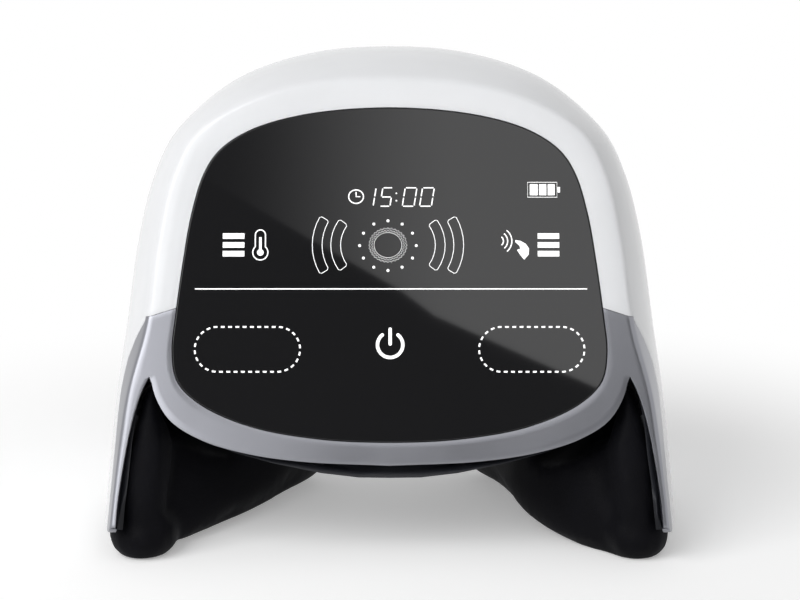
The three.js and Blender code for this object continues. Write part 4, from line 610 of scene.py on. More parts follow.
def outer_rows(inner, share, row):
    """The rows from the flat strip's inner point over the crease to the parting line."""
    station = wing_station(share, 0)
    along_share = functools.partial(wing_place, share)
    if row <= BEND_FIRST:
        start = crease_bend(inner, along_share, station, 0)
        return inner.lerp(start, (row - PLATE_ROWS) / STRIP_ROWS)
    if row <= RETURN_FIRST:
        return crease_bend(inner, along_share, station, (row - BEND_FIRST) / CREASE_ROWS)
    first = sweep_at_depth(station, crease_reach(inner, wing_place(share, 0)))
    last = parting_sweep(station) - sweep_at_depth(parting_station, SEAM / 2)
    return wing_place(share, first + (last - first) * (row - RETURN_FIRST) / RETURN_ROWS)


def glass_side(share):
    """The frame's edge along the glass, from the parting line at 0 to the crotch's level at 1."""
    start = math.atan2(PARTING_FRONT_V - SEAM / 2, HALF_GLASS_WIDTH)
    return glass_edge(start + (crotch_angle - start) * share)


def wing_edge_u(v):
    """How far from the middle the wing's inner edge is at a height on the panel."""
    us, vs = [p.x for p in wing_edge], [p.y for p in wing_edge]
    return float(np.interp(v, vs[::-1], us[::-1]))


print("crotch at share", round(crotch_share, 3), "of the wing")

# %% [markdown]
# The grey frame is made of three sheets that share their edges: the piece above the crotch, from
# the glass to the parting line, the bezel under the glass, and the narrow front edge of the wing.
# They are joined into one, so that the frame is a single moulding as on the real thing.

# %% Grey lower frame
FRAME_WALL = 2.6 * MM
UPPER_COLUMNS = 12
EDGE_COLUMNS = 36
BEZEL_COLUMNS = 46


def upper_place(column, row):
    share = column / UPPER_COLUMNS
    wing_share = SEAM / 2 / WING_REACH + (crotch_share - SEAM / 2 / WING_REACH) * share
    glass = glass_side(share)
    crease = wing_place(wing_share, 0)
    middle = glass.lerp(crease, PLATE_SHARE).lerp(crotch_point, share**2)
    if row <= PLATE_ROWS:
        return glass.lerp(middle, row / PLATE_ROWS)
    return outer_rows(middle, wing_share, row)


def bezel_place(column, row):
    direction = crotch_angle + (-math.pi / 2 - crotch_angle) * column / BEZEL_COLUMNS
    inner = glass_edge(direction)
    edge = bezel_at(direction)
    outer = crotch_point if column == 0 else panel_point(edge.x, edge.y)
    return inner.lerp(outer, row / PLATE_ROWS)


def edge_place(column, row):
    share = crotch_share + (1 - crotch_share) * column / EDGE_COLUMNS
    v = crease_v(wing_station(share, 0))
    inner = crotch_point if column == 0 else panel_point(wing_edge_u(v), v)
    return outer_rows(inner, share, row + PLATE_ROWS)


frame_sheets = [
    grid_sheet("frame_upper", UPPER_COLUMNS, FRAME_ROWS, upper_place),
    grid_sheet("frame_bezel", BEZEL_COLUMNS, PLATE_ROWS, bezel_place),
    grid_sheet("frame_edge", EDGE_COLUMNS, FRAME_ROWS - PLATE_ROWS, edge_place),
]
grey_frame = join_sheets("grey_frame", frame_sheets)
finish_shell(grey_frame, FRAME_WALL)
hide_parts("lower_frame")
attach(grey_frame, "housing")

# %% [markdown]
# The panel is one pane of glass. Blender's circle, filled with one face, gives its front: each corner
# of the circle moves to a point of the outline. Solidify gives the pane its thickness, and a hardened
# bevel rounds the rim while the front stays perfectly flat for clean reflections.


# %% Glass pane
GLASS_THICKNESS = 1.8 * MM
GLASS_EDGE = 0.35 * MM
GLASS_STEP = 4


def face_panel(piece):
    """Turns every face of a flat piece towards the front of the panel."""
    edit_faces(piece, lambda face: face.normal.dot(PANEL_NORMAL) < 0, bpy.ops.mesh.flip_normals)


def filled_outline(name, outline, depth):
    """A circle filled with one face, its corners moved to an outline on the panel."""
    bpy.ops.mesh.primitive_circle_add(vertices=len(outline), radius=MM, fill_type="NGON")
    piece = bpy.context.object
    piece.name = name
    piece.data.name = name
    for vertex, (u, v) in zip(piece.data.vertices, outline):
        vertex.co = panel_point(u, v, depth)
    return piece


glass = filled_outline("touch_pane", [(p.x, p.y) for p in glass_outline[::GLASS_STEP]], 0)
face_panel(glass)
bpy.ops.object.shade_smooth()
add_modifier(glass, "SOLIDIFY", thickness=GLASS_THICKNESS, offset=-1)
add_modifier(glass, "BEVEL", width=GLASS_EDGE, segments=3, limit_method="ANGLE", harden_normals=True)
apply_modifiers(glass)
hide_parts("touch_glass")
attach(glass, "housing")
print("pane faces", len(glass.data.polygons))

# %% [markdown]
# The symbols of the display and the outlines of the keys are drawn from circles, parts of circles
# and boxes. They are given in millimetres from the middle of the glass, and a part of a circle also
# by its first and last angle in degrees and its number of points.


# %% Outlines for the print
def ellipse(u, v, radius_u, radius_v, count):
    turns = [2 * math.pi * i / count for i in range(count)]
    return [(u + radius_u * math.cos(turn), v + radius_v * math.sin(turn)) for turn in turns]


def on_circle(u, v, radius, degrees):
    turn = math.radians(degrees)
    return u + radius * math.cos(turn), v + radius * math.sin(turn)


def arc(u, v, radius, first, last, count):
    """Points along a part of a circle, from the first angle to the last, in degrees."""
    return [on_circle(u, v, radius, first + (last - first) * i / (count - 1)) for i in range(count)]


def box(low_u, high_u, low_v, high_v):
    return [(low_u, low_v), (high_u, low_v), (high_u, high_v), (low_u, high_v)]


# %% [markdown]
# The print is flat and lies just in front of the glass. A line is drawn with a grid of one row, whose
# corners move to both sides of the line, and a solid shape is a filled outline. All shapes of one
# print are joined into one piece.

# %% Drawing on the glass
PRINT_LIFT = 0.03 * MM
DOT_SIDES = 12
drawn = []


def draw_fill(outline):
    drawn.append(filled_outline("fill", [(u * MM, v * MM) for u, v in outline], -PRINT_LIFT))


def draw_line(line, width, closed=False):
    """A ribbon along a line on the glass."""
    points = [Vector(point) for point in line]
    count = len(points)
    sides = []
    for i, point in enumerate(points):
        before = points[i - 1] if closed or i > 0 else point
        after = points[(i + 1) % count] if closed or i < count - 1 else point
        along = (after - before).normalized()
        across = Vector((-along.y, along.x)) * width / 2
        sides.append((point - across, point + across))

    def place(column, row):
        side = sides[column % count][row]
        return panel_point(side.x * MM, side.y * MM, -PRINT_LIFT)

    drawn.append(grid_sheet("line", count if closed else count - 1, 1, place))


def draw_disc(u, v, radius, sides=DOT_SIDES):
    draw_fill(ellipse(u, v, radius, radius, sides))


def finish_print(name):
    piece = join_sheets(name, drawn)
    drawn.clear()
    face_panel(piece)
    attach(piece, "housing")
    print(name, "faces", len(piece.data.polygons))
    return piece


# %% [markdown]
# The display shows a clock with the time in slanted seven-segment digits and a battery. Each digit
# is drawn from its lit segments, which keep a small gap between them as on a real display.

# %% Clock, time and battery
LINE = 0.42
THIN_LINE = 0.24
FINE_LINE = 0.12
DOT = 0.3
CLOCK = Vector((-12.0, 27.8))
CLOCK_RADIUS = 2.65
CLOCK_SQUEEZE = 0.92
CLOCK_POINTS = 32
CLOCK_HANDS = [Vector((0, 1.7)), Vector((1.5, 0))]
DIGIT_LOW = 24.35
DIGIT_HEIGHT = 6.65
DIGIT_SLANT = 0.16
SEGMENT_GAP = 0.28
SEGMENTS = {
    "top": ((0, 1), (1, 1)), "middle": ((0, 0.5), (1, 0.5)), "bottom": ((0, 0), (1, 0)),
    "upper_left": ((0, 0.5), (0, 1)), "upper_right": ((1, 1), (1, 0.5)),
    "lower_left": ((0, 0), (0, 0.5)), "lower_right": ((1, 0.5), (1, 0)),
}
ONE = ("upper_right", "lower_right")
FIVE = ("top", "upper_left", "middle", "lower_right", "bottom")
ZERO = ("top", "upper_left", "upper_right", "lower_left", "lower_right", "bottom")
DIGITS = [(ONE, -9.5, 3.6), (FIVE, -3.5, 3.6), (ZERO, 4.5, 4.2), (ZERO, 10.7, 4.2)]
COLON_U = 2.4
COLON_SHARES = (0.3, 0.7)
BATTERY = box(49.3, 59.8, 27.6, 33.0)
BATTERY_TIP = box(60.0, 60.9, 29.3, 31.3)
BATTERY_BARS = [(50.1, 52.9), (53.4, 56.0), (56.5, 59.0)]
BATTERY_BAR_ENDS = (28.3, 32.3)

clock_rim = ellipse(*CLOCK, CLOCK_RADIUS, CLOCK_RADIUS * CLOCK_SQUEEZE, CLOCK_POINTS)
draw_line(clock_rim, LINE, closed=True)
draw_line([CLOCK + CLOCK_HANDS[0], CLOCK, CLOCK + CLOCK_HANDS[1]], LINE)
for lit, left, width in DIGITS:
    for segment in lit:
        first, last = (
            Vector((left + x * width + y * DIGIT_HEIGHT * DIGIT_SLANT, DIGIT_LOW + y * DIGIT_HEIGHT))
            for x, y in SEGMENTS[segment]
        )
        gap = (last - first).normalized() * SEGMENT_GAP
        draw_line([first + gap, last - gap], LINE)
for share in COLON_SHARES:
    draw_disc(COLON_U, DIGIT_LOW + share * DIGIT_HEIGHT, DOT)
draw_line(BATTERY, THIN_LINE, closed=True)
draw_fill(BATTERY_TIP)
for left, right in BATTERY_BARS:
    draw_fill(box(left, right, *BATTERY_BAR_ENDS))
print("shapes of the clock, the time and the battery", len(drawn))

# %% [markdown]
# Left and right show the strength of heat and of massage: three bars each, with a thermometer and
# a hand beside them.

# %% Heat and massage symbols
BAR_ENDS = [(-59.5, -51.8), (52.8, 60.5)]
BAR_LOWS = (6.25, 9.4, 12.6)
BAR_HEIGHT = 2.0
THERMOMETER_U = -46.1
BULB_V = 7.7
BULB_RADIUS = 2.7
BULB_ARC = (132, 408, 28)
BULB_SIDES = 20
TUBE_TOP_V = 14.0
TUBE_RADIUS = 1.8
TUBE_ARC = (0, 180, 14)
HEAT_RADIUS = 1.2
HEAT_WIDTH = 0.9
HEAT_GAP = 0.8
HAND_SHARES = [
    (0, 1), (0.37, 0.97), (0.77, 0.81), (1, 0.57), (0.98, 0.27), (0.65, 0), (0.37, 0.23), (0.12, 0.5),
    (0.37, 0.56), (0.3, 0.72), (0, 0.9),
]
HAND_CORNER = (44.8, 5.1)
HAND_SIZE = (4.9, 7.0)
WAVES = (38.7, 11.8)
WAVE_RADII = (1.9, 3.4, 4.9)
WAVE_ARC = (-50, 52, 14)

for left, right in BAR_ENDS:
    for low in BAR_LOWS:
        draw_fill(box(left, right, low, low + BAR_HEIGHT))
bulb = arc(THERMOMETER_U, BULB_V, BULB_RADIUS, *BULB_ARC)
tube_end = arc(THERMOMETER_U, TUBE_TOP_V, TUBE_RADIUS, *TUBE_ARC)
draw_line(bulb + tube_end, LINE, closed=True)
draw_disc(THERMOMETER_U, BULB_V, HEAT_RADIUS, BULB_SIDES)
draw_line([(THERMOMETER_U, BULB_V), (THERMOMETER_U, TUBE_TOP_V - HEAT_GAP)], HEAT_WIDTH)
hand = [(HAND_CORNER[0] + x * HAND_SIZE[0], HAND_CORNER[1] + y * HAND_SIZE[1]) for x, y in HAND_SHARES]
draw_fill(hand)
for radius in WAVE_RADII:
    draw_line(arc(*WAVES, radius, *WAVE_ARC), LINE)
print("shapes with the heat and massage symbols", len(drawn))

# %% [markdown]
# In the middle a toothed ring with dots stands between bent bands. A tooth is one point further out
# between two points further in, and a band is two arcs whose ends are cut at the corners.

# %% Toothed ring, dots and bent bands
RING = (-0.6, 10.35)
RING_SQUEEZE = 0.91
RING_RADII = (6.6, 5.7)
INNER_RING = 4.95
RING_POINTS = 48
TEETH = 32
TOOTH = 0.32
DOTS = 12
DOTS_V = 10.15
DOT_RADII = (10.1, 8.95)
DOT_SIZE = 0.52
BAND_SIZES = [(6.7, 16.8, 20.3, 31), (4.9, 12.0, 15.5, 37)]
BAND_CORNER = 0.6
BAND_POINTS = 9


def toothed_ring(radius):
    outline = []
    for i in range(2 * TEETH):
        reach = radius + TOOTH * (-1) ** i
        turn = math.pi * i / TEETH
        outline.append((RING[0] + reach * math.cos(turn), RING[1] + RING_SQUEEZE * reach * math.sin(turn)))
    return outline


def bent_band(side, middle, inner, outer, angle):
    """The outline of a band along an arc, with its four corners cut off."""
    cut = math.degrees(BAND_CORNER / outer)
    centre = RING[0] + side * middle
    turned = 0 if side > 0 else 180
    near = arc(centre, RING[1], inner, turned - angle + cut, turned + angle - cut, BAND_POINTS)
    far = arc(centre, RING[1], outer, turned + angle - cut, turned - angle + cut, BAND_POINTS)
    radii = (inner + BAND_CORNER, outer - BAND_CORNER)
    outwards = [on_circle(centre, RING[1], radius, turned + angle) for radius in radii]
    inwards = [on_circle(centre, RING[1], radius, turned - angle) for radius in radii[::-1]]
    return near + outwards + far + inwards


for radius in RING_RADII:
    draw_line(toothed_ring(radius), FINE_LINE, closed=True)
inner_ring = ellipse(*RING, INNER_RING, INNER_RING * RING_SQUEEZE, RING_POINTS)
draw_line(inner_ring, FINE_LINE, closed=True)
for u, v in ellipse(RING[0], DOTS_V, *DOT_RADII, DOTS):
    draw_disc(u, v, DOT_SIZE)
for side in (-1, 1):
    for band in BAND_SIZES:
        draw_line(bent_band(side, *band), THIN_LINE, closed=True)
symbols = finish_print("lit_symbols")

# %% [markdown]
# Below the dividing line lie the three keys. Two are outlined by short dashes along a pill shape,
# and the power key has its usual sign.

# %% Divider and keys
DIVIDER = [(-69.3, -5.4), (70.3, -5.4)]
PILL_U = 50.5
PILL_V = -27
PILL_RADIUS = 8
PILL_STRAIGHT = 10.7
DASHES = 36
DASH_SHARE = 0.52
DASH_WIDTH = 0.62
DASH_PARTS = 3
POWER = Vector((0.2, -25.4))
POWER_RADIUS = 4.5
POWER_ARC = (128, 412, 40)
POWER_LINE = 1.2
POWER_BAR = (5.6, 0.3)


def pill_point(middle_u, share):
    """A place on the pill's outline, from the right end round to it again."""
    straight = 2 * PILL_STRAIGHT
    bend = math.pi * PILL_RADIUS
    along = (share % 1) * 2 * (straight + bend)
    side = 1 if along < straight + bend else -1
    if side < 0:
        along -= straight + bend
    if along < bend:
        turn = -math.pi / 2 + along / PILL_RADIUS
        u, v = PILL_STRAIGHT + PILL_RADIUS * math.cos(turn), PILL_RADIUS * math.sin(turn)
    else:
        u, v = PILL_STRAIGHT - (along - bend), PILL_RADIUS
    return middle_u + side * u, PILL_V + side * v


draw_line(DIVIDER, LINE)
for middle_u in (-PILL_U, PILL_U):
    for i in range(DASHES):
        steps = [(i + DASH_SHARE * k / DASH_PARTS) / DASHES for k in range(DASH_PARTS + 1)]
        draw_line([pill_point(middle_u, step) for step in steps], DASH_WIDTH)
power_arc = arc(*POWER, POWER_RADIUS, *POWER_ARC)
power_bar = [POWER + Vector((0, end)) for end in POWER_BAR]
draw_line(power_arc, POWER_LINE)
draw_line(power_bar, POWER_LINE)
for u, v in (power_arc[0], power_arc[-1], *power_bar):
    draw_disc(u, v, POWER_LINE / 2)
keys = finish_print("printed_keys")

# %% [markdown]
# Soft pieces start as a copy of the part that holds their place. The copy's loose triangles are
# merged and a voxel remesh gives it an even skin that can stretch everywhere.


# %% Copies of parts
def copy_of(node, name):
    """A merged copy of a part of the frame, as the start of a finer piece."""
    piece = bpy.data.objects.new(name, bpy.data.objects[node].data.copy())
    piece.data.name = name
    bpy.context.collection.objects.link(piece)
    select_only(piece)
    edit_all(bpy.ops.mesh.remove_doubles, threshold=MERGE_GAP)
    piece.data.materials.clear()
    return piece


def soft_copy(node, name, voxel, rounds, shrink, fillings=()):
    """A soft skin over a part's copy and over the fillings that are joined to it."""
    piece = copy_of(node, name)
    for filling in fillings:
        filling.select_set(True)
    bpy.ops.object.join()
    add_modifier(piece, "REMESH", mode="VOXEL", voxel_size=voxel)
    add_modifier(piece, "SMOOTH", factor=0.5, iterations=rounds)
    add_modifier(piece, "DISPLACE", strength=-shrink, mid_level=0)
    apply_modifiers(piece)
    return piece


def soften(piece):
    add_modifier(piece, "SUBSURF", levels=1, render_levels=1)
    apply_modifiers(piece)
    bpy.ops.object.shade_smooth()
    print(piece.name, "faces", len(piece.data.polygons))


# %% [markdown]
# The side cushions are foam in a stretched fabric cover. A short cloth simulation blows the cover
# up from inside, so that it swells between its edges as a filled cushion does. A cap on how far a
# point may move keeps each cushion in its place.

# %% Inflating a cover
CUSHION_PRESSURE = 6
CUSHION_CAP = 1.4 * MM
CLOTH_FRAMES = 20


def inflate(piece):
    """Swells a closed cover with Blender's cloth; no point moves further than the cap."""
    before = [vertex.co.copy() for vertex in piece.data.vertices]
    cloth = add_modifier(piece, "CLOTH")
    cloth.settings.use_pressure = True
    cloth.settings.uniform_pressure_force = CUSHION_PRESSURE
    cloth.settings.effector_weights.gravity = 0
    for frame_number in range(1, CLOTH_FRAMES + 1):
        bpy.context.scene.frame_set(frame_number)
    apply_modifiers(piece)
    bpy.context.scene.frame_set(1)
    moves = [vertex.co - start for vertex, start in zip(piece.data.vertices, before)]
    for vertex, start, move in zip(piece.data.vertices, before, moves):
        vertex.co = start + move * min(1, CUSHION_CAP / max(move.length, SMALLEST))
    print(piece.name, "swells by mm", round(max(move.length for move in moves) / MM, 1))


# %% [markdown]
# Each cushion also bulges out as a roll in front, under the wing's edge, and as a rounded toe at its
# foot. Both start as Blender's ball and are joined to the cushion before the remesh, so that one skin
# covers all.

# %% Rolls and toes
BALL_RINGS = 24
ROLL_TOP_V = -37.5 * MM
ROLL_LOW_V = -92 * MM
ROLL_GAP = 1.4 * MM
ROLL_SQUARE = 0.6
ROLL_WIDTHS = [3.2 * MM, 7.5 * MM, 12.5 * MM, 13.5 * MM, 14 * MM, 14 * MM]
ROLL_FRONT = 2.6 * MM
ROLL_DEPTH = 17 * MM
ROLL_END = 0.35
TOE_MIDDLE = Vector((88.5, -48.5, 6.5)) * MM
TOE_RADII = Vector((12.5, 15, 9.5)) * MM
TOE_END = 0.8


def shaped_ball(place):
    """A ball whose points move to place(along, turn, size): from end to end, round, and outwards."""
    bpy.ops.mesh.primitive_uv_sphere_add(segments=BALL_RINGS, ring_count=BALL_RINGS, radius=1)
    ball = bpy.context.object
    for vertex in ball.data.vertices:
        x, y, z = vertex.co
        vertex.co = place((z + 1) / 2, math.atan2(y, x), math.hypot(x, y))
    edit_all(bpy.ops.mesh.normals_make_consistent, inside=False)
    return ball


def roll_place(sign):
    """The front roll, from the notch beside the panel down along the wing's front edge."""

    def place(along, turn, size):
        v = ROLL_LOW_V + (ROLL_TOP_V - ROLL_LOW_V) * along
        share = (1 - along) * (len(ROLL_WIDTHS) - 1)
        width = float(np.interp(share, range(len(ROLL_WIDTHS)), ROLL_WIDTHS))
        outer = wing_edge_u(v) - ROLL_GAP
        full = size**ROLL_END
        round_parts = (math.cos(turn), math.sin(turn))
        across, inwards = (full * math.copysign(abs(part) ** ROLL_SQUARE, part) for part in round_parts)
        u = outer - width / 2 * (1 - across)
        return panel_point(sign * u, v, ROLL_FRONT + ROLL_DEPTH / 2 * (1 + inwards))

    return place


def toe_place(sign):
    """The rounded toe, a squashed ball at the cushion's front foot."""

    def place(along, turn, size):
        full = size**TOE_END
        reach = Vector((full * math.cos(turn), full * math.sin(turn), 2 * along - 1))
        middle = Vector((sign * TOE_MIDDLE.x, TOE_MIDDLE.y, TOE_MIDDLE.z))
        return middle + Vector(r * e for r, e in zip(reach, TOE_RADII))

    return place


print("widest roll in mm", round(max(ROLL_WIDTHS) / MM, 1))

# %% [markdown]
# Now both cushions are made. After the swelling each one's foot is pressed flat where it rests on the
# table, and one subdivision smooths the skin.

# %% Side cushions
CUSHION_VOXEL = 2.6 * MM
CUSHION_ROUNDS = 3
CUSHION_SHRINK = 0.2 * MM
cushions = {}
for side, sign in (("left", -1), ("right", 1)):
    fillings = [shaped_ball(roll_place(sign)), shaped_ball(toe_place(sign))]
    cushion = soft_copy(
        f"{side}_cushion", f"{side}_side_cushion", CUSHION_VOXEL, CUSHION_ROUNDS, CUSHION_SHRINK, fillings
    )
    inflate(cushion)
    for vertex in cushion.data.vertices:
        vertex.co.z = max(vertex.co.z, 0)
    soften(cushion)
    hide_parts(f"{side}_cushion")
    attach(cushion, f"{side}_pad")
    cushions[side] = cushion

# %% [markdown]
# Between each wing and its cushion plate lies an air bag, a flat welded bladder. Its copy is remeshed and
# smoothed, and it stays where the part is.

# %% Air bags
BAG_VOXEL = 3 * MM
BAG_ROUNDS = 2
BAG_SHRINK = 0.3 * MM
BAG_SPAN = {"left": (-96 * MM, -72 * MM), "right": (96 * MM, 72 * MM)}
bags = {}
for side, (wing_x, pad_x) in BAG_SPAN.items():
    bag = soft_copy(f"{side}_airbag", f"{side}_air_bladder", BAG_VOXEL, BAG_ROUNDS, BAG_SHRINK)
    soften(bag)
    low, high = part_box(f"{side}_airbag")
    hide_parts(f"{side}_airbag")
    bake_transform(bag)
    bags[side] = bag

# %% [markdown]
# The knee rests against a soft heated pad with raised points that press into the skin. The pad's
# copy is remeshed finely, and each point rises as a smooth dome around its place on a grid.

# %% Knee pad
PAD_VOXEL = 1.8 * MM
PAD_ROUNDS = 12
PAD_SWELL = 0.5 * MM
POINT_PITCH = 12 * MM
POINT_RADIUS = 4.2 * MM
POINT_HEIGHT = 1.8 * MM
POINT_FIELD = (33 * MM, 27 * MM)
pad = soft_copy("knee_pad", "heated_knee_pad", PAD_VOXEL, PAD_ROUNDS, -PAD_SWELL)
soften(pad)
pad_low, pad_high = (Vector(corner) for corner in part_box("knee_pad"))
pad_v = panel_place((pad_low + pad_high) / 2)[1]


def near_point(u, v):
    """The distance to the nearest raised point of a staggered grid, or none outside its field."""
    row = round((v - pad_v) / POINT_PITCH)
    shift = POINT_PITCH / 2 * (row % 2)
    column = round((u - shift) / POINT_PITCH)
    middle = Vector((column * POINT_PITCH + shift, pad_v + row * POINT_PITCH))
    inside = (middle.x / POINT_FIELD[0]) ** 2 + ((middle.y - pad_v) / POINT_FIELD[1]) ** 2 < 1
    return (Vector((u, v)) - middle).length if inside else None


normals = [vertex.normal.copy() for vertex in pad.data.vertices]
for vertex, normal in zip(pad.data.vertices, normals):
    distance = near_point(*panel_place(vertex.co))
    if distance is None or distance > POINT_RADIUS or normal.dot(PANEL_NORMAL) > 0:
        continue
    vertex.co += normal * POINT_HEIGHT * (1 - (distance / POINT_RADIUS) ** 2) ** 2
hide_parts("knee_pad")
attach(pad, "housing")

# %% [markdown]
# The black inner housing is already the right shape. Its copy only gets soft shading over its curved
# faces, while edges sharper than the smoothing angle stay crisp.

# %% Inner housing
NORMAL_WEIGHT = 80
inner_shell = copy_of("inner_shell", "inner_housing")
bpy.ops.object.shade_smooth_by_angle(angle=SMOOTH_ANGLE)
add_modifier(inner_shell, "WEIGHTED_NORMAL", keep_sharp=True, weight=NORMAL_WEIGHT)
apply_modifiers(inner_shell)
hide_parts("inner_shell")
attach(inner_shell, "housing")
print("inner housing faces", len(inner_shell.data.polygons))

# %% [markdown]
# The release valve's spring is a plain sleeve inside the valve. Its copy gets a mesh of its own and is
# held by the housing.

# %% Valve spring
spring = copy_of("valve_spring", "return_spring")
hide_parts("valve_spring")
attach(spring, "housing")
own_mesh(spring)

# %% [markdown]
# A finish is a material with Blender's Principled shader. Values that are the same all over go on the
# shader's own sockets, and patterns are linked in. These helpers keep both to one line each.


# %% Finish helpers
def new_finish(name, **settings):
    """A material whose Principled shader has these values on its own sockets."""
    material = bpy.data.materials.new(name)
    material.use_nodes = True
    shader = material.node_tree.nodes["Principled BSDF"]
    for socket, value in settings.items():
        shader.inputs[socket.replace("_", " ")].default_value = value
    return material


def add_node(material, kind, **inputs):
    """A node whose sockets get plain values or links from other nodes."""
    node = material.node_tree.nodes.new(kind)
    for socket, value in inputs.items():
        target = node.inputs[socket.replace("_", " ")]
        if isinstance(value, bpy.types.NodeSocket):
            material.node_tree.links.new(value, target)
        else:
            target.default_value = value
    return node


def link_shader(material, socket, output):
    shader = material.node_tree.nodes["Principled BSDF"]
    material.node_tree.links.new(output, shader.inputs[socket])


def place_in_object(material):
    return add_node(material, "ShaderNodeTexCoord").outputs["Object"]


# %% [markdown]
# No real surface is quite even. Noise in the object's own coordinates varies the colour and the
# roughness a little and raises the surface by hundredths of a millimetre. Noise mostly lies between
# 0.3 and 0.7, so that range is spread over the two ends that a finish asks for.

# %% Patterns in a finish
PATTERN_ENDS = (0.3, 0.7)


def grain(material, size):
    """Noise whose spots are about the given size."""
    place = place_in_object(material)
    noise = add_node(material, "ShaderNodeTexNoise", Vector=place, Scale=1 / size, Detail=3.0)
    return noise.outputs["Fac"]


def add_bump(material, height, strength, distance):
    bump = add_node(material, "ShaderNodeBump", Height=height, Strength=strength, Distance=distance)
    link_shader(material, "Normal", bump.outputs["Normal"])


def fade_between(material, source, first, last, low, high):
    """Turns a value that goes from first to last into one that goes smoothly from low to high."""
    fade = add_node(
        material, "ShaderNodeMapRange", Value=source, From_Min=first, From_Max=last, To_Min=low, To_Max=high
    )
    fade.interpolation_type = "SMOOTHSTEP"
    return fade.outputs["Result"]


def vary(material, socket, source, low, high):
    """Spreads a pattern from 0 to 1 over a socket's value."""
    link_shader(material, socket, fade_between(material, source, *PATTERN_ENDS, low, high))


def vary_color(material, source, low, high):
    ramp = add_node(material, "ShaderNodeValToRGB", Fac=source)
    ramp.color_ramp.interpolation = "EASE"
    for element, position, color in zip(ramp.color_ramp.elements, PATTERN_ENDS, (low, high)):
        element.position = position
        element.color = (*color, 1)
    link_shader(material, "Base Color", ramp.outputs["Color"])


def shade(color, factor):
    return tuple(min(value * factor, 1) for value in color)


# %% [markdown]
# The outside has five finishes: polished white plastic, a satin grey paint with the soft shine of
# metal, satin black plastic, the glass, and the stretched fabric of the cushions, a fine knit with a
# faint velvet sheen.

# %% Outside finishes
WHITE = (0.87, 0.88, 0.9)
GREY = (0.27, 0.274, 0.3)
BLACK = (0.016, 0.017, 0.022)
GLASS = (0.006, 0.006, 0.007)
FABRIC = (0.005, 0.005, 0.0065)
FABRIC_SHEEN = (0.5, 0.52, 0.65, 1)
CLOUD_SIZE = 30 * MM
FABRIC_CLOUD_SIZE = 18 * MM
LOOP_SIZE = 0.75 * MM
LOOP_HEIGHT = 0.12 * MM


def moulded_finish(name, color, roughness, grain_size, depth, **settings):
    """A moulded or painted surface: a barely uneven gloss and a fine grain."""
    material = new_finish(name, **settings)
    cloudy = grain(material, CLOUD_SIZE)
    vary_color(material, cloudy, shade(color, 0.985), shade(color, 1.015))
    vary(material, "Roughness", cloudy, roughness * 0.92, roughness * 1.08)
    add_bump(material, grain(material, grain_size), 0.5, depth)
    return material


def knit_finish(name, color, **settings):
    """Knitted cover: small loops and a slight change of shade."""
    material = new_finish(name, **settings)
    place = place_in_object(material)
    loops = add_node(material, "ShaderNodeTexVoronoi", Vector=place, Scale=1 / LOOP_SIZE)
    cloudy = grain(material, FABRIC_CLOUD_SIZE)
    vary_color(material, cloudy, shade(color, 0.85), shade(color, 1.2))
    vary(material, "Roughness", cloudy, 0.5, 0.62)
    add_bump(material, loops.outputs["Distance"], 0.35, LOOP_HEIGHT)
    return material


fabric_shine = {"Sheen_Weight": 0.015, "Sheen_Roughness": 0.4, "Sheen_Tint": FABRIC_SHEEN}
FINISHES = {
    "white_gloss": moulded_finish("polished_white", WHITE, 0.24, 0.9 * MM, 0.002 * MM, Coat_Weight=0.3),
    "grey_satin": moulded_finish("satin_grey", GREY, 0.3, 0.9 * MM, 0.0015 * MM, Metallic=1.0),
    "black_satin": moulded_finish(
        "satin_black", BLACK, 0.42, 0.4 * MM, 0.006 * MM, Specular_IOR_Level=0.35
    ),
    "black_glass": moulded_finish("black_glass", GLASS, 0.03, 4 * MM, 0.0002 * MM, IOR=1.5),
    "black_fabric": knit_finish("stretched_knit", FABRIC, Specular_IOR_Level=0.05, **fabric_shine),
}
print("outside finishes", len(FINISHES))

# %% [markdown]
# The inside has plain working materials: boards with copper tracks, turned steel and brass, clear
# tubes, rubber, foam and wires. Each gets the detail that its real surface shows up close.

# %% Metal, rubber and board
LINE_SIZE = 3 * MM
LINE_STRETCH = (1, 1, 12)
PORE_SIZE = 0.8 * MM
STAIN_SIZE = 6 * MM
TRACK_PITCH = 4 * MM


def metal_finish(name, color, roughness):
    """Turned metal: fine lines from the tool, close together along Z."""
    material = new_finish(name, Metallic=1.0)
    place = place_in_object(material)
    stretched = add_node(material, "ShaderNodeMapping", Vector=place, Scale=LINE_STRETCH).outputs["Vector"]
    noise = add_node(material, "ShaderNodeTexNoise", Vector=stretched, Scale=1 / LINE_SIZE, Detail=4.0)
    lines = noise.outputs["Fac"]
    vary_color(material, lines, shade(color, 0.9), shade(color, 1.08))
    vary(material, "Roughness", lines, roughness * 0.85, roughness * 1.2)
    add_bump(material, lines, 0.3, 0.01 * MM)
    return material


def rubber_finish(name, color, roughness, depth, **settings):
    """Rubber and foam: matt, with small pores."""
    material = new_finish(name, **settings)
    pores = grain(material, PORE_SIZE)
    vary_color(material, grain(material, STAIN_SIZE), shade(color, 0.9), shade(color, 1.12))
    vary(material, "Roughness", pores, roughness * 0.92, roughness * 1.05)
    add_bump(material, pores, 0.5, depth)
    return material


def board_finish(name, lacquer, copper):
    """A circuit board: copper tracks under green lacquer, drawn by the edges of square cells."""
    material = new_finish(name, Roughness=0.32, Coat_Weight=0.3)
    place = place_in_object(material)
    tracks = add_node(material, "ShaderNodeTexVoronoi", Vector=place, Scale=1 / TRACK_PITCH)
    tracks.distance = "CHEBYCHEV"
    vary_color(material, tracks.outputs["Distance"], lacquer, copper)
    add_bump(material, tracks.outputs["Distance"], 0.4, 0.03 * MM)
    return material


# %% [markdown]
# Every part of the frame has a slot that names its finish. The finishes are kept under the same
# names, so one loop dresses all the parts.

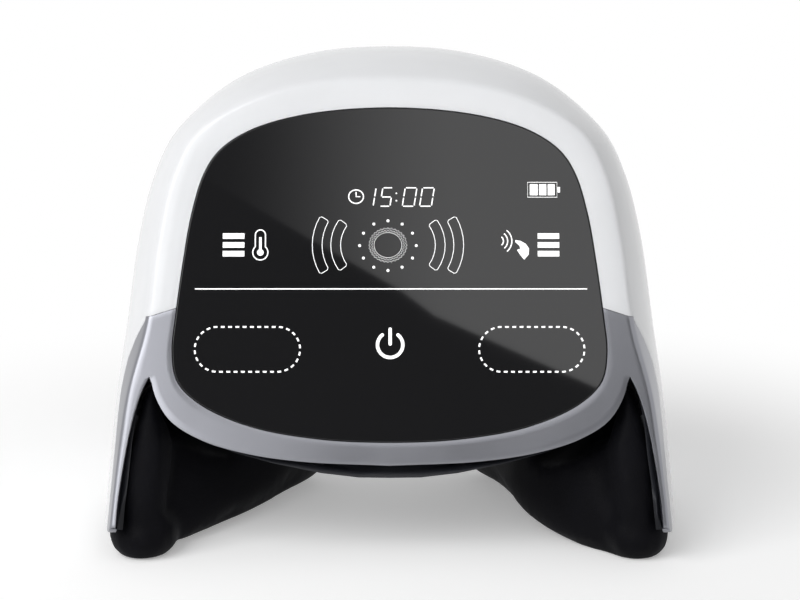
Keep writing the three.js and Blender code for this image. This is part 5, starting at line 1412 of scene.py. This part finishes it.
# %% Inside finishes
FINISHES.update({
    "foam_tape": rubber_finish("foam_tape", (0.03, 0.03, 0.03), 0.9, 0.1 * MM),
    "white_plastic": moulded_finish("milky_plastic", (0.8, 0.8, 0.76), 0.42, 0.6 * MM, 0.006 * MM),
    "circuit_board": board_finish("green_board", (0.012, 0.13, 0.055), (0.05, 0.26, 0.1)),
    "steel": metal_finish("turned_steel", (0.6, 0.61, 0.62), 0.28),
    "brass": metal_finish("turned_brass", (0.6, 0.45, 0.15), 0.3),
    "silicone": rubber_finish("soft_silicone", (0.04, 0.042, 0.05), 0.5, 0.01 * MM, Sheen_Weight=0.1),
    "clear_tubing": rubber_finish(
        "clear_tubing", (0.7, 0.7, 0.66), 0.3, 0.004 * MM, Transmission_Weight=0.5
    ),
    "bladder": rubber_finish("welded_bladder", (0.1, 0.11, 0.14), 0.45, 0.02 * MM),
    "battery_wrap": moulded_finish("battery_wrap", (0.05, 0.2, 0.45), 0.25, 1.5 * MM, 0.02 * MM),
    "red_lead": rubber_finish("red_lead", (0.35, 0.03, 0.02), 0.4, 0.004 * MM),
    "film": board_finish("heating_film", (0.4, 0.17, 0.04), (0.62, 0.3, 0.1)),
})
for node in NODES:
    part = bpy.data.objects[node]
    for slot in part.material_slots:
        slot.material = FINISHES[slot.material.name.split(".")[0]]
print("parts with a finish", len(NODES))

# %% [markdown]
# The print glows a little, as a lit display does, so it stays white under any light. It still has
# the fine spread of ink: the strength of the light varies slightly over each shape.

# %% Finishes of the new pieces
LIT_COLOR = (1, 1, 1)
LIT_STRENGTHS = (0.55, 0.65)
INK_SIZE = 2 * MM
lit_print = new_finish("lit_print", Emission_Color=(*LIT_COLOR, 1), Roughness=0.4)
ink = grain(lit_print, INK_SIZE)
vary_color(lit_print, ink, shade(LIT_COLOR, 0.96), LIT_COLOR)
vary(lit_print, "Emission Strength", ink, *LIT_STRENGTHS)
FINISHES["lit_print"] = lit_print
dressed = [
    (shell, "white_gloss"), (grey_frame, "grey_satin"), (glass, "black_glass"),
    (symbols, "lit_print"), (keys, "lit_print"), (pad, "silicone"),
    (inner_shell, "black_satin"), (spring, "steel"),
    *[(cushion, "black_fabric") for cushion in cushions.values()],
    *[(bag, "bladder") for bag in bags.values()],
]
for piece, finish in dressed:
    piece.data.materials.clear()
    piece.data.materials.append(FINISHES[finish])
print("dressed pieces", len(dressed))

# %% [markdown]
# Floor and world have to look pure white without lighting the object more. The Light Path node tells
# what a ray is for, and its answers for the camera, reflections and glass are combined into one.


# %% Rays that see pure white
PURE_WHITE = (1, 1, 1, 1)


def combine(material, operation, first, second):
    """A Math node on two outputs."""
    node = add_node(material, "ShaderNodeMath")
    node.operation = operation
    for output, target in zip((first, second), node.inputs):
        material.node_tree.links.new(output, target)
    return node.outputs["Value"]


def seen_ray(material):
    """1 for what the camera, a reflection or a view through glass sees, and 0 for light."""
    path = add_node(material, "ShaderNodeLightPath").outputs
    direct = combine(material, "MAXIMUM", path["Is Camera Ray"], path["Is Glossy Ray"])
    return combine(material, "MAXIMUM", direct, path["Is Transmission Ray"])


# %% [markdown]
# A studio picture of a white product stands on a white floor without a horizon. Close to the product
# the floor is plain white paint, so it keeps the soft shadow, and further out it fades into pure
# white for the eye of the camera and for reflections.

# %% Floor
FLOOR_SIZE = 12
FLOOR_NEAR = 0.14
FLOOR_FAR = 0.32
FLOOR_PAINT = (0.94, 0.94, 0.94, 1)
FLOOR_GLOW = 0.3
bpy.ops.mesh.primitive_plane_add(size=FLOOR_SIZE)
floor = bpy.context.object
floor.name = "floor"
paint = new_finish(
    "floor_paint", Base_Color=FLOOR_PAINT, Roughness=0.9, Specular_IOR_Level=0, Emission_Color=PURE_WHITE
)
distance = add_node(paint, "ShaderNodeVectorMath", Vector=place_in_object(paint))
distance.operation = "LENGTH"
far = fade_between(paint, distance.outputs["Value"], FLOOR_NEAR, FLOOR_FAR, 0, 1)
seen = seen_ray(paint)
near_glow = add_node(paint, "ShaderNodeMapRange", Value=seen, To_Max=FLOOR_GLOW)
link_shader(paint, "Emission Strength", near_glow.outputs["Result"])
white_glow = add_node(paint, "ShaderNodeEmission")
mix = add_node(paint, "ShaderNodeMixShader", Fac=combine(paint, "MULTIPLY", far, seen))
paint_nodes = paint.node_tree.nodes
paint_links = paint.node_tree.links
paint_links.new(paint_nodes["Principled BSDF"].outputs["BSDF"], mix.inputs[1])
paint_links.new(white_glow.outputs["Emission"], mix.inputs[2])
paint_links.new(mix.outputs["Shader"], paint_nodes["Material Output"].inputs["Surface"])
floor.data.materials.append(paint)
print("floor fades to white from", FLOOR_NEAR, "to", FLOOR_FAR, "metres")

# %% [markdown]
# The world is the even light of a white room. It could also be a picture of a studio, but a plain
# white world keeps the shadows soft. For the eye of the camera and for reflections it is pure white,
# so no horizon shows, while it lights the object with less.

# %% World light
WORLD_LIGHT = 0.38
world = bpy.data.worlds.new("studio")
bpy.context.scene.world = world
world.use_nodes = True
background = world.node_tree.nodes["Background"]
background.inputs["Color"].default_value = PURE_WHITE
strength = add_node(world, "ShaderNodeMapRange", Value=seen_ray(world), To_Min=WORLD_LIGHT, To_Max=1.0)
world.node_tree.links.new(strength.outputs["Result"], background.inputs["Strength"])
print("world light", WORLD_LIGHT)

# %% [markdown]
# The key light is a large soft box at the upper left, so the left side is the brighter one.

# %% Key light
KEY_PLACE = Vector((-0.75, -0.75, 0.95))
KEY_ENERGY = 8.5
KEY_SIZE = 0.9
LIGHT_TARGET = Vector((0, 0, 0.08))
bpy.ops.object.light_add(type="AREA", location=KEY_PLACE)
key = bpy.context.object
key.name = "key_light"
key.data.energy = KEY_ENERGY
key.data.size = KEY_SIZE
key.rotation_euler = (LIGHT_TARGET - KEY_PLACE).to_track_quat("-Z", "Y").to_euler()
print("key light stands off by", round((LIGHT_TARGET - KEY_PLACE).length, 2), "metres")

# %% [markdown]
# The glass is a mirror, and it shows what stands in front of it. A dark flag keeps its lower part deep
# black, and a bright card with a slanting lower edge lays the wide sheen over its upper right. Each
# card's outline is drawn where it should show on the panel, in millimetres, and then moved out along
# the mirrored line of sight.

# %% Mirrored line of sight
camera_height = (camera.location - PANEL_ORIGIN).dot(PANEL_NORMAL)
mirror_camera = camera.location - PANEL_NORMAL * 2 * camera_height
card_direction = (PANEL_ORIGIN - mirror_camera).normalized()


def mirrored_place(u, v, distance):
    """The place on a card that the camera sees reflected at a place on the glass."""
    point = panel_point(u * MM, v * MM)
    ray = (point - mirror_camera).normalized()
    reach = (distance - (point - PANEL_ORIGIN).dot(card_direction)) / ray.dot(card_direction)
    return point + ray * reach


print("camera stands in front of the panel by", round(camera_height, 2), "metres")

# %% [markdown]
# The cards are flat shapes that glow. The camera doesn't see them, so only their light and their
# reflections are in the picture. A second bright card at the left is mirrored in the grey frame.

# %% Cards
CARD_DISTANCE = 0.75
FLAG_DISTANCE = 0.78
SHEEN_SIDE = 84
SHEEN_LEFT_V = 45
SHEEN_RIGHT_V = -46
SHEEN_EDGE = [(-31, 14), (4, -6), (16, -15), (74, -41)]
SHEEN_START = -62
SHEEN_FULL = 28
SHEEN_STRENGTHS = (0.22, 1.95)
FLAG_STRENGTHS = (0.18, 0.18)
SIDE_STRENGTHS = (3.4, 3.4)
SIDE_EDGE = -88
CARD_REACH = 300
CARD_LOW = -130
CARD_TOP = 110


def card_piece(name, outline, distance, strengths):
    """A glowing card that only light and reflections see, brighter towards the right."""
    bpy.ops.mesh.primitive_circle_add(vertices=len(outline), radius=1, fill_type="NGON")
    card = bpy.context.object
    card.name = name
    for vertex, (u, v) in zip(card.data.vertices, outline):
        vertex.co = mirrored_place(u, v, distance)
    card.visible_camera = False
    glow = bpy.data.materials.new(name)
    glow.use_nodes = True
    glow.node_tree.nodes.remove(glow.node_tree.nodes["Principled BSDF"])
    across = add_node(glow, "ShaderNodeSeparateXYZ", Vector=place_in_object(glow))
    ends = [mirrored_place(u, 0, distance).x for u in (SHEEN_START, SHEEN_FULL)]
    strength = fade_between(glow, across.outputs["X"], *ends, *strengths)
    emission = add_node(glow, "ShaderNodeEmission", Strength=strength)
    output = glow.node_tree.nodes["Material Output"]
    glow.node_tree.links.new(emission.outputs["Emission"], output.inputs["Surface"])
    card.data.materials.append(glow)


flag = box(-SHEEN_SIDE, CARD_REACH, CARD_LOW, CARD_TOP)
sheen_low = [(-SHEEN_SIDE, SHEEN_LEFT_V), *SHEEN_EDGE, (SHEEN_SIDE, SHEEN_RIGHT_V)]
sheen = [*sheen_low, (SHEEN_SIDE, CARD_TOP), (-SHEEN_SIDE, CARD_TOP)]
card_piece("dark_flag", flag, FLAG_DISTANCE, FLAG_STRENGTHS)
card_piece("sheen_card", sheen, CARD_DISTANCE, SHEEN_STRENGTHS)
card_piece("side_card", box(-CARD_REACH, SIDE_EDGE, CARD_LOW, CARD_TOP), FLAG_DISTANCE, SIDE_STRENGTHS)
bpy.context.scene.view_settings.view_transform = "Standard"
print("cards stand at", CARD_DISTANCE, "and", FLAG_DISTANCE, "metres")
